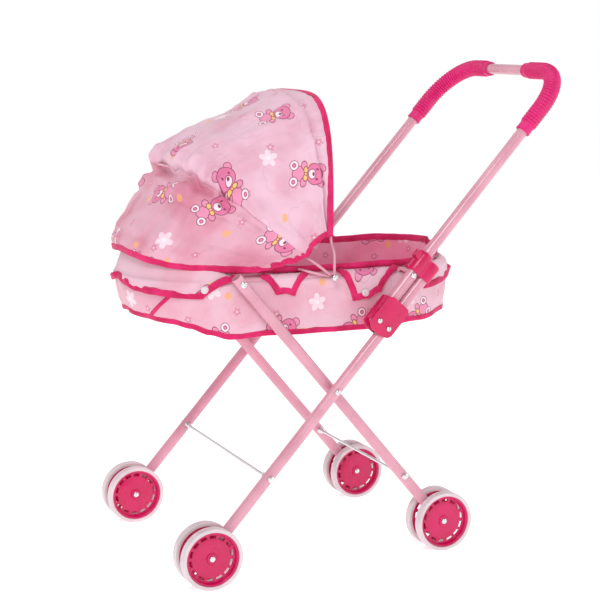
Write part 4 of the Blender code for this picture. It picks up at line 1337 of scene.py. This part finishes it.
def make_flaps(printed, tape, thread, snap_finish):
    """The flaps that fold out over the ring, edged with tape and held by snaps."""
    seams = []
    for number, (title, top_a, top_b, hem_a, hem_b, heights) in enumerate(FLAPS):
        columns = max(14, round((top_b - top_a) / 0.0028))
        tight = title.startswith("middle")
        rows = []
        for k in range(15):
            drop = k / 14
            row = []
            for j in range(columns + 1):
                share = j / columns
                inward = ramp(drop, 0.15, 0.95)
                first, last = top_a + (hem_a - top_a) * inward, top_b + (hem_b - top_b) * inward
                s = first * (1 - share) + last * share
                wrapped = s if s <= HALF_RIM else s - 2 * HALF_RIM
                hem_s = hem_a + (hem_b - hem_a) * share
                lower = between(heights, min(abs(hem_s), abs(2 * HALF_RIM - hem_s)))
                lower += 0.0010 * ripple(s, 0, 33, 40)
                row.append(flap_place(wrapped, drop, lower, tight))
            rows.append(row)
        layout = []
        for k, row in enumerate(rows):
            drop = k * FLAP_LENGTH / (len(rows) - 1)
            lengths = travelled(row)
            layout.append([(u - lengths[-1] / 2 + 0.13 * number, drop + 0.21 * number) for u in lengths])
        flap = cloth(f"carrycot_flap_{title}", rows, layout, printed)
        edge = [row[0] for row in rows[2:-1]] + rows[-1] + [row[-1] for row in reversed(rows[2:-1])]
        inside = [row[1] for row in rows[2:-1]] + rows[-2] + [row[-2] for row in reversed(rows[2:-1])]
        tape_piece, seam = binding(f"carrycot_flap_binding_{title}", edge, inside, tape, 0.0078,
                                   thick=0.0009 if tight else 0.0013)
        seams.append(seam)
        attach(flap, "carrycot")
        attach(tape_piece, "carrycot")
    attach(stitches("carrycot_flap_stitches", seams, thread), "carrycot")
    for side, name in SIDES:
        for title, s, z in (("front", .116, .3165), ("rear", .2985, .3025)):
            make_snap(f"snap_{title}_{name}", side * s, z, snap_finish)


def make_snap(name, s, z, finish):
    """A domed press stud that holds a flap to the wall."""
    place = rim(s, 0.0098, z)
    outward = (rim(s, 0.02, z) - rim(s, 0.0, z)).normalized()
    head = 0.0046
    profile = [(-0.0012, 0), (-0.0012, head * 0.9), (0.0, head)] + [
        (0.0016 * sin(t), head * (0.45 + 0.55 * cos(t))) for t in (pi / 2 * k / 6 for k in range(1, 7))]
    profile += [(0.0012, head * 0.30), (0.0011, 0)]
    bm = turned(profile, place, 36, axis=outward)
    solid(name, bm, finish, "carrycot", ())


def make_ring(paint):
    """The oval tube that carries the cot."""
    path = [rim(s, 0.0, RING_Z) for s in round_rim(240)]
    bm = bmesh.new()
    skin(bm, sweep(path, Z_AXIS, [RING_R] * len(path), 20, closed=True), loop=True)
    solid("carrycot_ring_tube", bm, paint, "carrycot", ["carrycot_ring"])


# Build ---------------------------------
def board_finish():
    """Grey pressed board with fibres."""
    made = Finish("pressed_board")
    fibres = made.noise(made.vector("MULTIPLY", made.place, (1.0, 0.2, 1.0)), 500.0, 4.0)
    made.set(colour=made.mix(fibres, (0.42, 0.39, 0.35), (0.66, 0.63, 0.58)), rough=0.85)
    made.bump(fibres, 0.0003, 0.5)
    return made.material


def thread_finish():
    """Magenta sewing thread with a fine twist."""
    made = Finish("magenta_thread")
    twist = made.noise(made.place, 1800.0, 2.0)
    made.set(colour=made.mix(twist, (0.60, 0.02, 0.12), (0.85, 0.10, 0.26)), rough=0.5, sheen=0.3)
    made.bump(twist, 0.0001, 0.5)
    return made.material


def build():
    make_camera()
    make_studio()
    paint, metal = enamel(), steel()
    moulded = plastic("magenta_moulding", (0.58, 0.001, 0.080), (0.68, 0.003, 0.110), 0.26, 0.38,
                      coat=0.10)
    vinyl = plastic("magenta_vinyl", (0.66, 0.002, 0.140), (0.76, 0.006, 0.185), 0.40, 0.52,
                    grain=500.0, depth=0.0002, coat=0.0)
    white = plastic("white_moulding", (0.66, 0.56, 0.59), (0.75, 0.66, 0.68), 0.30, 0.42)
    hub_finish = plastic("magenta_hub", (0.56, 0.001, 0.085), (0.64, 0.003, 0.115), 0.24, 0.34,
                         coat=0.1)
    front_print = Print("printed_cloth", (0.80, 0.50, 0.61), (0.74, 0.37, 0.48)).material
    printed = Print("printed_cloth_deeper", (0.80, 0.50, 0.60), (0.75, 0.36, 0.46)).material
    # A darker copy of the print for the hood's lower sheet: painted shade under the fold of the hood.
    shaded_print = Print("printed_cloth_shaded", (0.76, 0.39, 0.50), (0.66, 0.22, 0.32)).material
    # A brighter copy of the print for the lining: its deeper pink is the lining's own, and the added
    # brightness is painted light against the shade inside the cot.
    brightened_lining_print = Print("printed_lining_brightened", (0.95, 0.42, 0.58), (0.90, 0.27, 0.43)).material
    tape, thread = binding_cloth(), thread_finish()
    for side, name in SIDES:
        make_legs(side, name, paint)
        make_bolts(side, name, metal)
        make_bracket(side, name, moulded)
        make_end_guard(side, name, moulded)
        make_clip(side, name, moulded)
    make_tie_rod("front_tie_rod", "push_frame", metal)
    make_tie_rod("rear_tie_rod", "rear_legs", metal)
    make_handle(paint, vinyl)
    make_wheels(white, hub_finish, metal)
    make_ring(paint)
    make_hoops(paint)
    make_skirt(printed, tape, thread)
    make_lining(brightened_lining_print, tape, thread)
    make_flaps(printed, tape, thread, white)
    make_hood(front_print, shaded_print, tape, thread)
    board = frame["nodes"]["base_board"]
    board.data.materials.clear()
    board.data.materials.append(board_finish())


build()
